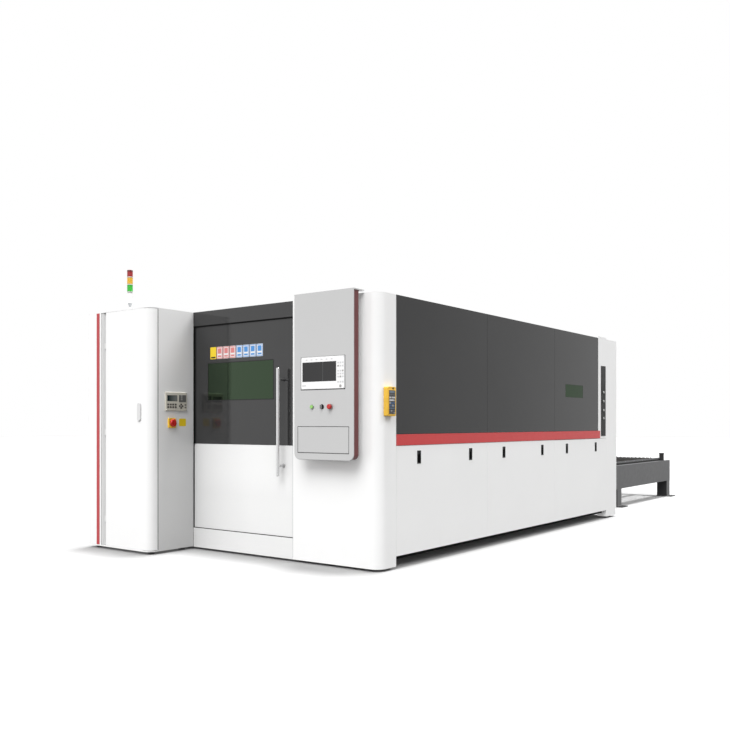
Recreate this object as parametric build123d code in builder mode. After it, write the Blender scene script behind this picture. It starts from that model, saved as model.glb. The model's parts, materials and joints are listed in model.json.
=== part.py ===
from build123d import *
import os

os.makedirs("parts", exist_ok=True)

# ---------------------------------------------------------------------------
# Driving dimensions (millimetres).  Positions below are given from the front
# right lower corner of the enclosure: x runs to the right (0 at the right side
# wall), y runs to the rear (0 at the front door plane), z is up from the lower
# edge of the front panels.  The levelling feet hold that edge Z_MID above the
# floor, so the floor is at z = FLOOR.  X_MID, Y_MID and Z_MID carry positions
# into the frame centred under the whole machine.
# ---------------------------------------------------------------------------
X_MID = 1540.0
Y_MID = -4153.0
Z_MID = 22.0
FLOOR = -Z_MID

BODY_W = 3130.0          # enclosure width
BODY_H = 2250.0          # enclosure height
BODY_L = 5260.0          # enclosure length
XC = -1565.0             # centre line of bed and exchange table

CAB_X = -2208.0          # right face of the left cabinet
CAB_Y = -525.0           # front face of the left cabinet
CAB_R = 90.0             # rounding of its front right corner
PILLAR_X = -930.0        # left edge of the front right pillar
PILLAR_D = 236.0         # depth of the front right pillar

SPLIT_LO, SPLIT_HI = 1000.0, 1093.0   # red band, lower and upper edge
PANEL_FOOT = 84.0                     # lower edge of the side panels
SEAM_1, SEAM_2 = 1791.0, 3352.0       # seams between the side panels
UPPER_END = 4641.0                    # rear end of the dark upper panels
LOWER_END = 4911.0                    # rear end of the white lower panels

SHEET = 3.0              # cover sheet
PALLET_Y0, PALLET_Y1 = 860.0, 4110.0  # pallet inside the machine
PALLET_SHIFT = 4590.0                 # exchange stroke
UPPER_RAIL, LOWER_RAIL = 597.0, 415.0 # running heights of the two pallets
LEG_Y = (500.0, 1600.0, 2700.0, 3800.0, 4900.0)
SLATS = 28
SLAT_PITCH = 110.0


def block(x0, x1, y0, y1, z0, z1, mode=Mode.ADD):
    with Locations((X_MID + (x0 + x1) / 2, Y_MID + (y0 + y1) / 2, Z_MID + (z0 + z1) / 2)):
        Box(x1 - x0, y1 - y0, z1 - z0, mode=mode)


def mirrored(a, b, y0, y1, z0, z1, mode=Mode.ADD):
    block(XC + a, XC + b, y0, y1, z0, z1, mode)
    block(XC - b, XC - a, y0, y1, z0, z1, mode)


def rod_x(x0, x1, y, z, r, mode=Mode.ADD):
    with Locations((X_MID + (x0 + x1) / 2, Y_MID + y, Z_MID + z)):
        Cylinder(r, x1 - x0, rotation=(0, 90, 0), mode=mode)


def rod_y(y0, y1, x, z, r, mode=Mode.ADD):
    with Locations((X_MID + x, Y_MID + (y0 + y1) / 2, Z_MID + z)):
        Cylinder(r, y1 - y0, rotation=(90, 0, 0), mode=mode)


def rod_z(z0, z1, x, y, r, mode=Mode.ADD):
    with Locations((X_MID + x, Y_MID + y, Z_MID + (z0 + z1) / 2)):
        Cylinder(r, z1 - z0, mode=mode)


def tray(y0, y1, z0, z1, t=2.0):
    block(-30, 0, y0, y1, z0, z1)
    block(-31, -t, y0 + t, y1 - t, z0 + t, z1 - t, Mode.SUBTRACT)


def plan(z):
    return Plane(origin=(X_MID, Y_MID, Z_MID + z))


def front(y):
    return Plane(origin=(X_MID, Y_MID + y, Z_MID), x_dir=(1, 0, 0), z_dir=(0, -1, 0))


def side(x):
    return Plane(origin=(X_MID + x, Y_MID, Z_MID), x_dir=(0, 1, 0), z_dir=(1, 0, 0))


# ---------------------------------------------------------------------------
# Machine bed
# ---------------------------------------------------------------------------
with BuildPart() as bed_frame:
    mirrored(1095, 1300, 330, 5150, 300, 950)
    for ly in LEG_Y:
        mirrored(1117, 1277, ly - 80, ly + 80, 60, 300)
        block(XC - 1117, XC + 1117, ly - 50, ly + 50, 70, 190)
    mirrored(1107, 1288, 320, 5160, 312, 938, Mode.SUBTRACT)
    for ly in LEG_Y:
        mirrored(1127, 1267, ly - 70, ly + 70, 50, 300, Mode.SUBTRACT)
        block(XC - 1116, XC + 1116, ly - 40, ly + 60, 80, 180, Mode.SUBTRACT)
    mirrored(1040, 1096, 560, 5225, UPPER_RAIL - 12, UPPER_RAIL)
    mirrored(1040, 1096, 560, 5225, LOWER_RAIL - 12, LOWER_RAIL)
bed_frame.part.label = "bed_frame"
export_step(bed_frame.part, "parts/bed_frame.step")

with BuildPart() as levelling_feet:
    for ly in LEG_Y:
        for s in (-1, 1):
            rod_z(FLOOR, FLOOR + 20, XC + s * 1197, ly, 65)
            rod_z(FLOOR + 19, 49, XC + s * 1197, ly, 20)
            block(XC + s * 1197 - 78, XC + s * 1197 + 78, ly - 78, ly + 78, 48, 60)
    for fx in (-3065, -2285):
        for fy in (-440, -85):
            rod_z(FLOOR, FLOOR + 9, fx, fy, 32)
            rod_z(FLOOR + 8, 4, fx, fy, 9)
    block(-927, -110, 3, 233, 24, 30)
    for fx in (-840, -210):
        rod_z(FLOOR, FLOOR + 9, fx, 130, 32)
        rod_z(FLOOR + 8, 25, fx, 130, 9)
    block(-117, -3, LOWER_END + 3, 5223, 24, 30)
    rod_z(FLOOR, FLOOR + 9, -60, 5068, 32)
    rod_z(FLOOR + 8, 25, -60, 5068, 9)
levelling_feet.part.label = "levelling_feet"
export_step(levelling_feet.part, "parts/levelling_feet.step")

with BuildPart() as x_guides:
    mirrored(1180, 1220, 400, 5080, 950, 985)
    mirrored(1262, 1292, 400, 5080, 950, 980)
x_guides.part.label = "x_guides"
export_step(x_guides.part, "parts/x_guides.step")

with BuildPart() as scrap_trays:
    for y0, y1 in ((460, 1595), (1605, 2695), (2705, 3795), (3805, 4940)):
        block(XC - 900, XC + 900, y0, y1, 190, 385)
        block(XC - 896, XC + 896, y0 + 4, y1 - 4, 194, 386, Mode.SUBTRACT)
scrap_trays.part.label = "scrap_trays"
export_step(scrap_trays.part, "parts/scrap_trays.step")

# ---------------------------------------------------------------------------
# Enclosure
# ---------------------------------------------------------------------------
with BuildPart() as roof_panel:
    block(-3098, -32, 240, 5226, 2215, 2219)
    block(-3098, -935, 84, 241, 2215, 2219)
    block(-3098, -3094, 84, 5226, 2170, 2219)
    block(-36, -32, 240, 5226, 2170, 2219)
    block(-3098, -32, 5222, 5226, 2170, 2219)
    block(-3098, -935, 84, 88, 2170, 2219)
    block(-936, -32, 240, 244, 2170, 2219)
    for ry in (1260, 2280, 3300):
        block(-3094, -36, ry - 20, ry + 20, 2175, 2215)
        block(-3095, -35, ry - 17, ry + 17, 2170, 2212, Mode.SUBTRACT)
    block(-124, -30, LOWER_END - 4, 5230, 2160, 2225, Mode.SUBTRACT)
    block(-128, -124, LOWER_END - 8, 5226, 2170, 2219)
    block(-128, -32, LOWER_END - 8, LOWER_END - 4, 2170, 2219)
    rod_z(2218, 2248, XC, 4600, 102)
    rod_z(2200, 2260, XC, 4600, 99, Mode.SUBTRACT)
roof_panel.part.label = "roof_panel"
export_step(roof_panel.part, "parts/roof_panel.step")

with BuildPart() as front_right_pillar:
    with BuildSketch(plan(0)) as outer:
        with Locations((PILLAR_X / 2, PILLAR_D / 2)):
            Rectangle(-PILLAR_X, PILLAR_D)
        fillet(outer.vertices().group_by(Axis.Y)[0].sort_by(Axis.X)[-1], 88)
    extrude(amount=BODY_H)
    with BuildSketch(plan(-5)) as inner:
        with Locations((PILLAR_X / 2, PILLAR_D / 2)):
            Rectangle(-PILLAR_X - 2 * SHEET, PILLAR_D - 2 * SHEET)
        fillet(inner.vertices().group_by(Axis.Y)[0].sort_by(Axis.X)[-1], 85)
    extrude(amount=BODY_H + 5 - SHEET, mode=Mode.SUBTRACT)
front_right_pillar.part.label = "front_right_pillar"
export_step(front_right_pillar.part, "parts/front_right_pillar.step")

with BuildPart() as front_header:
    block(-3098, -932, 0, 80, 2116, BODY_H)
    block(-3127, -931, 4, 76, 2122, BODY_H - 4, Mode.SUBTRACT)
    block(-3127, -931, 20, 48, 2110, 2123, Mode.SUBTRACT)
front_header.part.label = "front_header"
export_step(front_header.part, "parts/front_header.step")

with BuildPart() as front_sill:
    block(-2206, -932, 0, 80, 0, 184)
    block(-2207, -931, SHEET, 81, -1, 181, Mode.SUBTRACT)
    block(-2206, -932, 60, 66, 183, 204)
front_sill.part.label = "front_sill"
export_step(front_sill.part, "parts/front_sill.step")

with BuildPart() as right_upper_panel_front:
    tray(PILLAR_D + 3, SEAM_1 - 1.5, SPLIT_HI + 3, BODY_H)
right_upper_panel_front.part.label = "right_upper_panel_front"
export_step(right_upper_panel_front.part, "parts/right_upper_panel_front.step")

with BuildPart() as right_upper_panel_middle:
    tray(SEAM_1 + 1.5, SEAM_2 - 1.5, SPLIT_HI + 3, BODY_H)
right_upper_panel_middle.part.label = "right_upper_panel_middle"
export_step(right_upper_panel_middle.part, "parts/right_upper_panel_middle.step")

with BuildPart() as right_upper_panel_rear:
    tray(SEAM_2 + 1.5, UPPER_END - 1.5, SPLIT_HI + 3, BODY_H)
    block(-12, -1, 3636, 4164, 1477, 1648)
    block(-5.5, 1, 3648, 4152, 1489, 1636, Mode.SUBTRACT)
    block(-13, 1, 3664, 4136, 1505, 1620, Mode.SUBTRACT)
right_upper_panel_rear.part.label = "right_upper_panel_rear"
export_step(right_upper_panel_rear.part, "parts/right_upper_panel_rear.step")

with BuildPart() as right_window:
    block(-5.5, -0.6, 3648.5, 4151.5, 1489.5, 1635.5)
right_window.part.label = "right_window"
export_step(right_window.part, "parts/right_window.step")

with BuildPart() as red_trim:
    block(-20, 0.6, PILLAR_D + 3, UPPER_END - 5, SPLIT_LO, SPLIT_HI)
    block(0.4, 3, PILLAR_D + 3, 4700, SPLIT_LO, SPLIT_HI)
    block(-BODY_W, -BODY_W + 20, 2, 5226, SPLIT_LO, SPLIT_HI)
    block(-3000, -2954, CAB_Y - 2, CAB_Y, 16, 2246)
red_trim.part.label = "red_trim"
export_step(red_trim.part, "parts/red_trim.step")

BUTTON_Y = 4786.0
BUTTON_Z = (1575.0, 1464.0, 1351.0, 1249.0)

with BuildPart() as rear_right_column:
    block(-120, 0, LOWER_END, 5226, 2, BODY_H)
    block(-30, 0, UPPER_END, LOWER_END + 1, 997, BODY_H + 20)
    block(-117, -3, LOWER_END + 3, 5223, 1, BODY_H - 3, Mode.SUBTRACT)
    block(-31, -3, UPPER_END + 3, LOWER_END, 1000, BODY_H + 17, Mode.SUBTRACT)
    for bz in BUTTON_Z:
        rod_x(-10, 5, BUTTON_Y, bz, 14, Mode.SUBTRACT)
rear_right_column.part.label = "rear_right_column"
export_step(rear_right_column.part, "parts/rear_right_column.step")

with BuildPart() as left_side_panels:
    for y0, y1 in ((2, SEAM_1 - 1.5), (SEAM_1 + 1.5, SEAM_2 - 1.5), (SEAM_2 + 1.5, 5226)):
        for z0, z1 in ((PANEL_FOOT, SPLIT_LO - 3), (SPLIT_HI + 3, BODY_H)):
            block(-BODY_W, -BODY_W + 30, y0, y1, z0, z1)
            block(-BODY_W + 2, -BODY_W + 31, y0 + 2, y1 - 2, z0 + 2, z1 - 2, Mode.SUBTRACT)
left_side_panels.part.label = "left_side_panels"
export_step(left_side_panels.part, "parts/left_side_panels.step")

with BuildPart() as rear_wall:
    block(-BODY_W, 0, 5228, BODY_L, PANEL_FOOT, BODY_H)
    block(-BODY_W + 3, -3, 5227, BODY_L - 3, PANEL_FOOT + 3, BODY_H - 3, Mode.SUBTRACT)
    block(XC - 1113, XC + 1113, 5228, BODY_L - 1, 392, 883)
    block(XC - 1110, XC + 1110, 5227, BODY_L + 1, 395, 880, Mode.SUBTRACT)
rear_wall.part.label = "rear_wall"
export_step(rear_wall.part, "parts/rear_wall.step")

# ---------------------------------------------------------------------------
# Left cabinet
# ---------------------------------------------------------------------------
HINGE_X, HINGE_Y = -2868.0, -512.0
SEAM_Y = -428.0          # seam between the cabinet door and the side sheet
HINGE_Z = (300.0, 1130.0, 1960.0)
STOP_Y, STOP_Z = -270.0, 1188.0
LATCH_X, LATCH_Z = -2350.5, 1345.0

with BuildPart() as cabinet_shell:
    with BuildSketch(plan(4)) as shell_out:
        with Locations(((CAB_X - BODY_W) / 2, (CAB_Y - 2) / 2)):
            Rectangle(BODY_W + CAB_X, -CAB_Y - 2)
        fillet(shell_out.vertices().group_by(Axis.Y)[0].sort_by(Axis.X)[-1], CAB_R)
    extrude(amount=BODY_H - 4)
    with BuildSketch(plan(14)) as shell_in:
        with Locations(((CAB_X - BODY_W) / 2, (CAB_Y - 2) / 2)):
            Rectangle(BODY_W + CAB_X - 2 * SHEET, -CAB_Y - 2 - 2 * SHEET)
        fillet(shell_in.vertices().group_by(Axis.Y)[0].sort_by(Axis.X)[-1], CAB_R - SHEET)
    extrude(amount=BODY_H - 18, mode=Mode.SUBTRACT)
    block(-2932, CAB_X + 10, CAB_Y - 5, SEAM_Y + 4, 14, BODY_H - 4, Mode.SUBTRACT)
    block(-2935, -2932, CAB_Y, -430, 13, BODY_H - 3)
    rod_x(CAB_X - 10, CAB_X + 10, STOP_Y, STOP_Z, 13, Mode.SUBTRACT)
    # bolted-in back panel, a separate sheet
    block(-BODY_W + SHEET, CAB_X - SHEET, -8, 1, 14, BODY_H - 4, Mode.SUBTRACT)
    block(-BODY_W + SHEET + 0.5, CAB_X - SHEET - 0.5, -5, -2, 14.5, BODY_H - 4.5)
cabinet_shell.part.label = "cabinet_shell"
export_step(cabinet_shell.part, "parts/cabinet_shell.step")

with BuildPart() as cabinet_hinge_post:
    block(-2931, -2884, -503, -440, 15, 2245)
    for hz in HINGE_Z:
        block(-2890, HINGE_X, -515, -509, hz - 60, hz - 2)
        block(-2890, -2884, -515, -500, hz - 60, hz - 2)
        rod_z(hz - 60, hz - 2, HINGE_X, HINGE_Y, 9)
        rod_z(hz - 4, hz + 64, HINGE_X, HINGE_Y, 5)
cabinet_hinge_post.part.label = "cabinet_hinge_post"
export_step(cabinet_hinge_post.part, "parts/cabinet_hinge_post.step")

with BuildPart() as cabinet_door:
    with BuildSketch(plan(18)) as pan_out:
        with Locations(((-2854 + CAB_X) / 2, (CAB_Y + SEAM_Y - 4) / 2)):
            Rectangle(2854 + CAB_X, SEAM_Y - 4 - CAB_Y)
        fillet(pan_out.vertices().group_by(Axis.Y)[0].sort_by(Axis.X)[-1], CAB_R)
    extrude(amount=2224)
    with BuildSketch(plan(21)) as pan_in:
        with Locations(((-2854 + CAB_X) / 2, (CAB_Y + SEAM_Y - 4) / 2 + 10)):
            Rectangle(2854 + CAB_X - 2 * SHEET, SEAM_Y - 4 - CAB_Y - 2 * SHEET + 20)
        fillet(pan_in.vertices().group_by(Axis.Y)[0].sort_by(Axis.X)[-1], CAB_R - SHEET)
    extrude(amount=2218, mode=Mode.SUBTRACT)
    for hz in HINGE_Z:
        block(HINGE_X, -2852, -515, -509, hz, hz + 58)
        rod_z(hz, hz + 58, HINGE_X, HINGE_Y, 9)
        rod_z(hz - 1, hz + 59, HINGE_X, HINGE_Y, 5.05, Mode.SUBTRACT)
    rod_y(CAB_Y - 5, CAB_Y + 8, LATCH_X, LATCH_Z, 8.05, Mode.SUBTRACT)
cabinet_door.part.label = "cabinet_door"
export_step(cabinet_door.part, "parts/cabinet_door.step")

with BuildPart() as cabinet_latch:
    with BuildSketch(front(CAB_Y - 1)) as pill:
        with Locations((LATCH_X, 1290.5)):
            SlotOverall(171, 47, rotation=90)
    extrude(amount=13)
    fillet(cabinet_latch.faces().sort_by(Axis.Y)[0].edges(), 4)
    rod_y(CAB_Y - 1.5, CAB_Y + 17, LATCH_X, LATCH_Z, 8)
    block(LATCH_X - 18, LATCH_X + 18, CAB_Y + 13, CAB_Y + 17, LATCH_Z - 12, LATCH_Z + 60)
cabinet_latch.part.label = "cabinet_latch"
export_step(cabinet_latch.part, "parts/cabinet_latch.step")

with BuildPart() as laser_source:
    block(-3090, -2330, -400, -60, 14, 760)
    chamfer(laser_source.edges().filter_by(Axis.Z), 12)
    block(-3000, -2420, -412, -399, 120, 640)
    block(-3084, -2336, -394, -50, 20, 754, Mode.SUBTRACT)
laser_source.part.label = "laser_source"
export_step(laser_source.part, "parts/laser_source.step")

with BuildPart() as side_controller:
    block(CAB_X, CAB_X + 14, -349, -92, 1302, 1475)
    chamfer(side_controller.faces().sort_by(Axis.X)[-1].edges(), 3)
    block(CAB_X + 11, CAB_X + 20, -332, -211, 1391, 1447, Mode.SUBTRACT)
side_controller.part.label = "side_controller"
export_step(side_controller.part, "parts/side_controller.step")

with BuildPart() as side_estop_box:
    block(CAB_X, CAB_X + 14, STOP_Y - 45, STOP_Y + 45, STOP_Z - 46, STOP_Z + 46)
    fillet(side_estop_box.edges().filter_by(Axis.X), 8)
    rod_x(CAB_X - 1, CAB_X + 15, STOP_Y, STOP_Z, 11.1, Mode.SUBTRACT)
side_estop_box.part.label = "side_estop_box"
export_step(side_estop_box.part, "parts/side_estop_box.step")

with BuildPart() as side_estop_button:
    rod_x(CAB_X - 18, CAB_X + 26, STOP_Y, STOP_Z, 11)
    rod_x(CAB_X + 20, CAB_X + 38, STOP_Y, STOP_Z, 36)
    fillet(side_estop_button.faces().sort_by(Axis.X)[-1].edges(), 10)
side_estop_button.part.label = "side_estop_button"
export_step(side_estop_button.part, "parts/side_estop_button.step")

# ---------------------------------------------------------------------------
# Signal tower on the cabinet roof
# ---------------------------------------------------------------------------
TOWER_X, TOWER_Y = -2784.0, -300.0

with BuildPart() as stack_light_base:
    rod_z(2250, 2257, TOWER_X, TOWER_Y, 23)
    rod_z(2256, 2318, TOWER_X, TOWER_Y, 6)
    with Locations((X_MID + TOWER_X, Y_MID + TOWER_Y, Z_MID + 2336)):
        Cone(6, 22, 40)
    rod_z(2355, 2448, TOWER_X, TOWER_Y, 27)
    rod_z(2447, 2466, TOWER_X, TOWER_Y, 24)
stack_light_base.part.label = "stack_light_base"
export_step(stack_light_base.part, "parts/stack_light_base.step")

with BuildPart() as stack_light_green:
    rod_z(2466, 2535, TOWER_X, TOWER_Y, 24)
    rod_z(2469, 2532, TOWER_X, TOWER_Y, 27)
stack_light_green.part.label = "stack_light_green"
export_step(stack_light_green.part, "parts/stack_light_green.step")

with BuildPart() as stack_light_amber:
    rod_z(2535, 2606, TOWER_X, TOWER_Y, 24)
    rod_z(2541, 2604, TOWER_X, TOWER_Y, 27)
stack_light_amber.part.label = "stack_light_amber"
export_step(stack_light_amber.part, "parts/stack_light_amber.step")

with BuildPart() as stack_light_red:
    rod_z(2606, 2615, TOWER_X, TOWER_Y, 24)
    rod_z(2613, 2677, TOWER_X, TOWER_Y, 27)
    fillet(stack_light_red.faces().sort_by(Axis.Z)[-1].edges(), 6)
stack_light_red.part.label = "stack_light_red"
export_step(stack_light_red.part, "parts/stack_light_red.step")

# ---------------------------------------------------------------------------
# Sliding front door
# ---------------------------------------------------------------------------
LEAF_X0, LEAF_X1 = -2204.0, -934.0

with BuildPart() as door_leaf:
    block(LEAF_X0, LEAF_X1, 18, 56, 188, 2112)
    block(LEAF_X0 + 3, LEAF_X1 - 3, 21, 57, 191, 2109, Mode.SUBTRACT)
    block(LEAF_X0, LEAF_X1, 12, 19, 188, 989)
    block(LEAF_X0 + 2, LEAF_X1 - 2, 20, 50, 960, 1000)
    block(-2032, -1159, 20, 44, 1389, 1765)
    block(-2004, -1187, 10, 60, 1417, 1737, Mode.SUBTRACT)
    for hx in (-2060, -1078):
        block(hx - 60, hx + 60, 26, 42, 2110, 2130)
        block(hx - 60, hx + 60, 10, 70, 2122.4, 2150)
door_leaf.part.label = "door_leaf"
export_step(door_leaf.part, "parts/door_leaf.step")

with BuildPart() as door_dark_skin:
    block(LEAF_X0, LEAF_X1, 12, 18, 991, 2112)
    block(-2019, -1172, 11, 19, 1402, 1752, Mode.SUBTRACT)
door_dark_skin.part.label = "door_dark_skin"
export_step(door_dark_skin.part, "parts/door_dark_skin.step")

with BuildPart() as door_window:
    block(-2018.5, -1172.5, 12.6, 18, 1402.5, 1751.5)
door_window.part.label = "door_window"
export_step(door_window.part, "parts/door_window.step")

BAR_X, BAR_Y = -1049.0, -62.0

with BuildPart() as door_handle:
    rod_z(722, 1670, BAR_X, BAR_Y, 16)
    chamfer(door_handle.edges().filter_by(GeomType.CIRCLE), 3)
    # the standoffs and their foot washers are separate turned pieces
    for pz in (812, 1569):
        with BuildPart(mode=Mode.PRIVATE) as standoff:
            rod_y(BAR_Y, 6.8, BAR_X, pz, 10)
            rod_z(pz - 30, pz + 30, BAR_X, BAR_Y, 16.2, Mode.SUBTRACT)
        add(standoff.part)
        rod_y(7, 12, BAR_X, pz, 16)
door_handle.part.label = "door_handle"
export_step(door_handle.part, "parts/door_handle.step")

# ---------------------------------------------------------------------------
# Operator console on the front right pillar
# ---------------------------------------------------------------------------
CON_X0, CON_X1 = -785.0, -150.0
CON_Z0, CON_Z1 = 880.0, 2272.0
KEY_Z = 1321.0
GREEN_X, TURN_X, RED_X = -585.0, -478.0, -385.0
FLAP_AXIS_Y, FLAP_AXIS_Z = -142.0, 944.0


with BuildPart() as console_housing:
    with BuildSketch(front(-138)) as face_plate:
        with Locations(((CON_X0 + CON_X1) / 2, (CON_Z0 + CON_Z1 - 4) / 2)):
            Rectangle(CON_X1 - CON_X0, CON_Z1 - 4 - CON_Z0)
        fillet(face_plate.vertices().group_by(Axis.Y)[0], 55)
    extrude(amount=8)
    fillet(console_housing.faces().sort_by(Axis.Y)[0].edges(), 5)
    with BuildSketch(front(-69)) as core_out:
        with Locations(((CON_X0 + CON_X1) / 2, (CON_Z0 + 17 + 2264) / 2)):
            Rectangle(CON_X1 - CON_X0 - 34, 2264 - CON_Z0 - 17)
        fillet(core_out.vertices().group_by(Axis.Y)[0], 38)
    extrude(amount=69)
    with BuildSketch(front(-72)) as core_in:
        with Locations(((CON_X0 + CON_X1) / 2, (CON_Z0 + 20 + 2262) / 2)):
            Rectangle(CON_X1 - CON_X0 - 40, 2262 - CON_Z0 - 20)
        fillet(core_in.vertices().group_by(Axis.Y)[0], 35)
    extrude(amount=66, mode=Mode.SUBTRACT)
    # narrower neck that carries the console on the pillar
    block(-700, -235, -69.5, 0, 960, 2200)
    block(-697, -238, -75, 1, 963, 2197, Mode.SUBTRACT)
    block(CON_X0, CON_X1, -146, 0, 2262, CON_Z1)
    block(-743, -199, -150, -130, 939.5, 1157, Mode.SUBTRACT)
    rod_x(-751, -191, FLAP_AXIS_Y, FLAP_AXIS_Z, 2.05, Mode.SUBTRACT)
    for bx in (GREEN_X, TURN_X, RED_X):
        rod_y(-150, -130, bx, KEY_Z, 11.1, Mode.SUBTRACT)
console_housing.part.label = "console_housing"
export_step(console_housing.part, "parts/console_housing.step")

with BuildPart() as console_side_band:
    with BuildSketch(front(-69)) as band_out:
        with Locations(((CON_X0 + CON_X1) / 2, (CON_Z0 + 8 + 2262) / 2)):
            Rectangle(CON_X1 - CON_X0 - 16, 2262 - CON_Z0 - 8)
        fillet(band_out.vertices().group_by(Axis.Y)[0], 47)
    extrude(amount=69)
    with BuildSketch(front(-65)) as band_in:
        with Locations(((CON_X0 + CON_X1) / 2, (CON_Z0 + 17 + 2300) / 2)):
            Rectangle(CON_X1 - CON_X0 - 34, 2300 - CON_Z0 - 17)
        fillet(band_in.vertices().group_by(Axis.Y)[0], 38)
    extrude(amount=77, mode=Mode.SUBTRACT)
console_side_band.part.label = "console_side_band"
export_step(console_side_band.part, "parts/console_side_band.step")

with BuildPart() as screen_bezel:
    block(-703, -239, -151, -146, 1468, 1735)
    chamfer(screen_bezel.faces().sort_by(Axis.Y)[0].edges(), 1.5)
    block(-686, -327, -152, -148, 1532, 1690, Mode.SUBTRACT)
screen_bezel.part.label = "screen_bezel"
export_step(screen_bezel.part, "parts/screen_bezel.step")

with BuildPart() as display_glass:
    block(-685.5, -327.5, -150.4, -148, 1532.5, 1689.5)
display_glass.part.label = "display_glass"
export_step(display_glass.part, "parts/display_glass.step")

with BuildPart() as keyboard_flap:
    block(-741, -201, -146, -138, FLAP_AXIS_Z, 1155)
    rod_x(-741, -201, FLAP_AXIS_Y, FLAP_AXIS_Z, 4)
    rod_x(-749, -193, FLAP_AXIS_Y, FLAP_AXIS_Z, 2)
keyboard_flap.part.label = "keyboard_flap"
export_step(keyboard_flap.part, "parts/keyboard_flap.step")

with BuildPart() as start_button:
    rod_y(-153, -122, GREEN_X, KEY_Z, 11)
    rod_y(-161, -152, GREEN_X, KEY_Z, 15)
    fillet(start_button.faces().sort_by(Axis.Y)[0].edges(), 2)
start_button.part.label = "start_button"
export_step(start_button.part, "parts/start_button.step")

with BuildPart() as key_switch:
    rod_y(-150, -122, TURN_X, KEY_Z, 11)
    rod_y(-156, -146.5, TURN_X, KEY_Z, 16)
    block(TURN_X - 4, TURN_X + 4, -170, -155, KEY_Z - 15, KEY_Z + 15)
key_switch.part.label = "key_switch"
export_step(key_switch.part, "parts/key_switch.step")

with BuildPart() as console_estop:
    rod_y(-166, -122, RED_X, KEY_Z, 11)
    rod_y(-178, -160, RED_X, KEY_Z, 21)
    fillet(console_estop.faces().sort_by(Axis.Y)[0].edges(), 6)
console_estop.part.label = "console_estop"
export_step(console_estop.part, "parts/console_estop.step")

with BuildPart() as remote_pendant:
    with BuildSketch(side(0)) as pendant_face:
        with Locations((116, 1362)):
            RectangleRounded(116, 240, 14)
    extrude(amount=46)
    fillet(remote_pendant.faces().sort_by(Axis.X)[-1].edges(), 7)
remote_pendant.part.label = "remote_pendant"
export_step(remote_pendant.part, "parts/remote_pendant.step")

# ---------------------------------------------------------------------------
# Lift-off lower side panels with recessed grips
# ---------------------------------------------------------------------------
GRIP_Z = 895.0
with BuildPart() as right_lower_panel_front:
    tray(PILLAR_D + 3, SEAM_1 - 1.5, PANEL_FOOT, SPLIT_LO - 3)
    for gy in (580, 1465):
        block(-5, 1, gy - 24, gy + 24, GRIP_Z - 50, GRIP_Z + 50, Mode.SUBTRACT)
right_lower_panel_front.part.label = "right_lower_panel_front"
export_step(right_lower_panel_front.part, "parts/right_lower_panel_front.step")

with BuildPart() as right_lower_panel_middle:
    tray(SEAM_1 + 1.5, SEAM_2 - 1.5, PANEL_FOOT, SPLIT_LO - 3)
    for gy in (2136, 3029):
        block(-5, 1, gy - 24, gy + 24, GRIP_Z - 50, GRIP_Z + 50, Mode.SUBTRACT)
right_lower_panel_middle.part.label = "right_lower_panel_middle"
export_step(right_lower_panel_middle.part, "parts/right_lower_panel_middle.step")

with BuildPart() as right_lower_panel_rear:
    tray(SEAM_2 + 1.5, LOWER_END - 2, PANEL_FOOT, SPLIT_LO - 5)
    for gy in (3686, 4558):
        block(-5, 1, gy - 24, gy + 24, GRIP_Z - 50, GRIP_Z + 50, Mode.SUBTRACT)
right_lower_panel_rear.part.label = "right_lower_panel_rear"
export_step(right_lower_panel_rear.part, "parts/right_lower_panel_rear.step")

with BuildPart() as panel_grips_front:
    for gy in (580, 1465):
        block(0, 2, gy - 29, gy + 29, GRIP_Z - 56, GRIP_Z + 56)
        block(-22, 0.5, gy - 23.5, gy + 23.5, GRIP_Z - 49.5, GRIP_Z + 49.5)
        block(-19, 3, gy - 20, gy + 20, GRIP_Z - 46, GRIP_Z + 46, Mode.SUBTRACT)
panel_grips_front.part.label = "panel_grips_front"
export_step(panel_grips_front.part, "parts/panel_grips_front.step")

with BuildPart() as panel_grips_middle:
    for gy in (2136, 3029):
        block(0, 2, gy - 29, gy + 29, GRIP_Z - 56, GRIP_Z + 56)
        block(-22, 0.5, gy - 23.5, gy + 23.5, GRIP_Z - 49.5, GRIP_Z + 49.5)
        block(-19, 3, gy - 20, gy + 20, GRIP_Z - 46, GRIP_Z + 46, Mode.SUBTRACT)
panel_grips_middle.part.label = "panel_grips_middle"
export_step(panel_grips_middle.part, "parts/panel_grips_middle.step")

with BuildPart() as panel_grips_rear:
    for gy in (3686, 4558):
        block(0, 2, gy - 29, gy + 29, GRIP_Z - 56, GRIP_Z + 56)
        block(-22, 0.5, gy - 23.5, gy + 23.5, GRIP_Z - 49.5, GRIP_Z + 49.5)
        block(-19, 3, gy - 20, gy + 20, GRIP_Z - 46, GRIP_Z + 46, Mode.SUBTRACT)
panel_grips_rear.part.label = "panel_grips_rear"
export_step(panel_grips_rear.part, "parts/panel_grips_rear.step")

# ---------------------------------------------------------------------------
# Exchange buttons on the rear column
# ---------------------------------------------------------------------------
with BuildPart() as button_strip:
    block(0, 6, 4730, 4876, 1028, 1907)
    for bz in BUTTON_Z:
        rod_x(-2, 8, BUTTON_Y, bz, 11.1, Mode.SUBTRACT)
button_strip.part.label = "button_strip"
export_step(button_strip.part, "parts/button_strip.step")

with BuildPart() as exchange_button_1:
    rod_x(-14, 12, BUTTON_Y, BUTTON_Z[0], 11)
    rod_x(11, 20, BUTTON_Y, BUTTON_Z[0], 14)
exchange_button_1.part.label = "exchange_button_1"
export_step(exchange_button_1.part, "parts/exchange_button_1.step")

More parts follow.
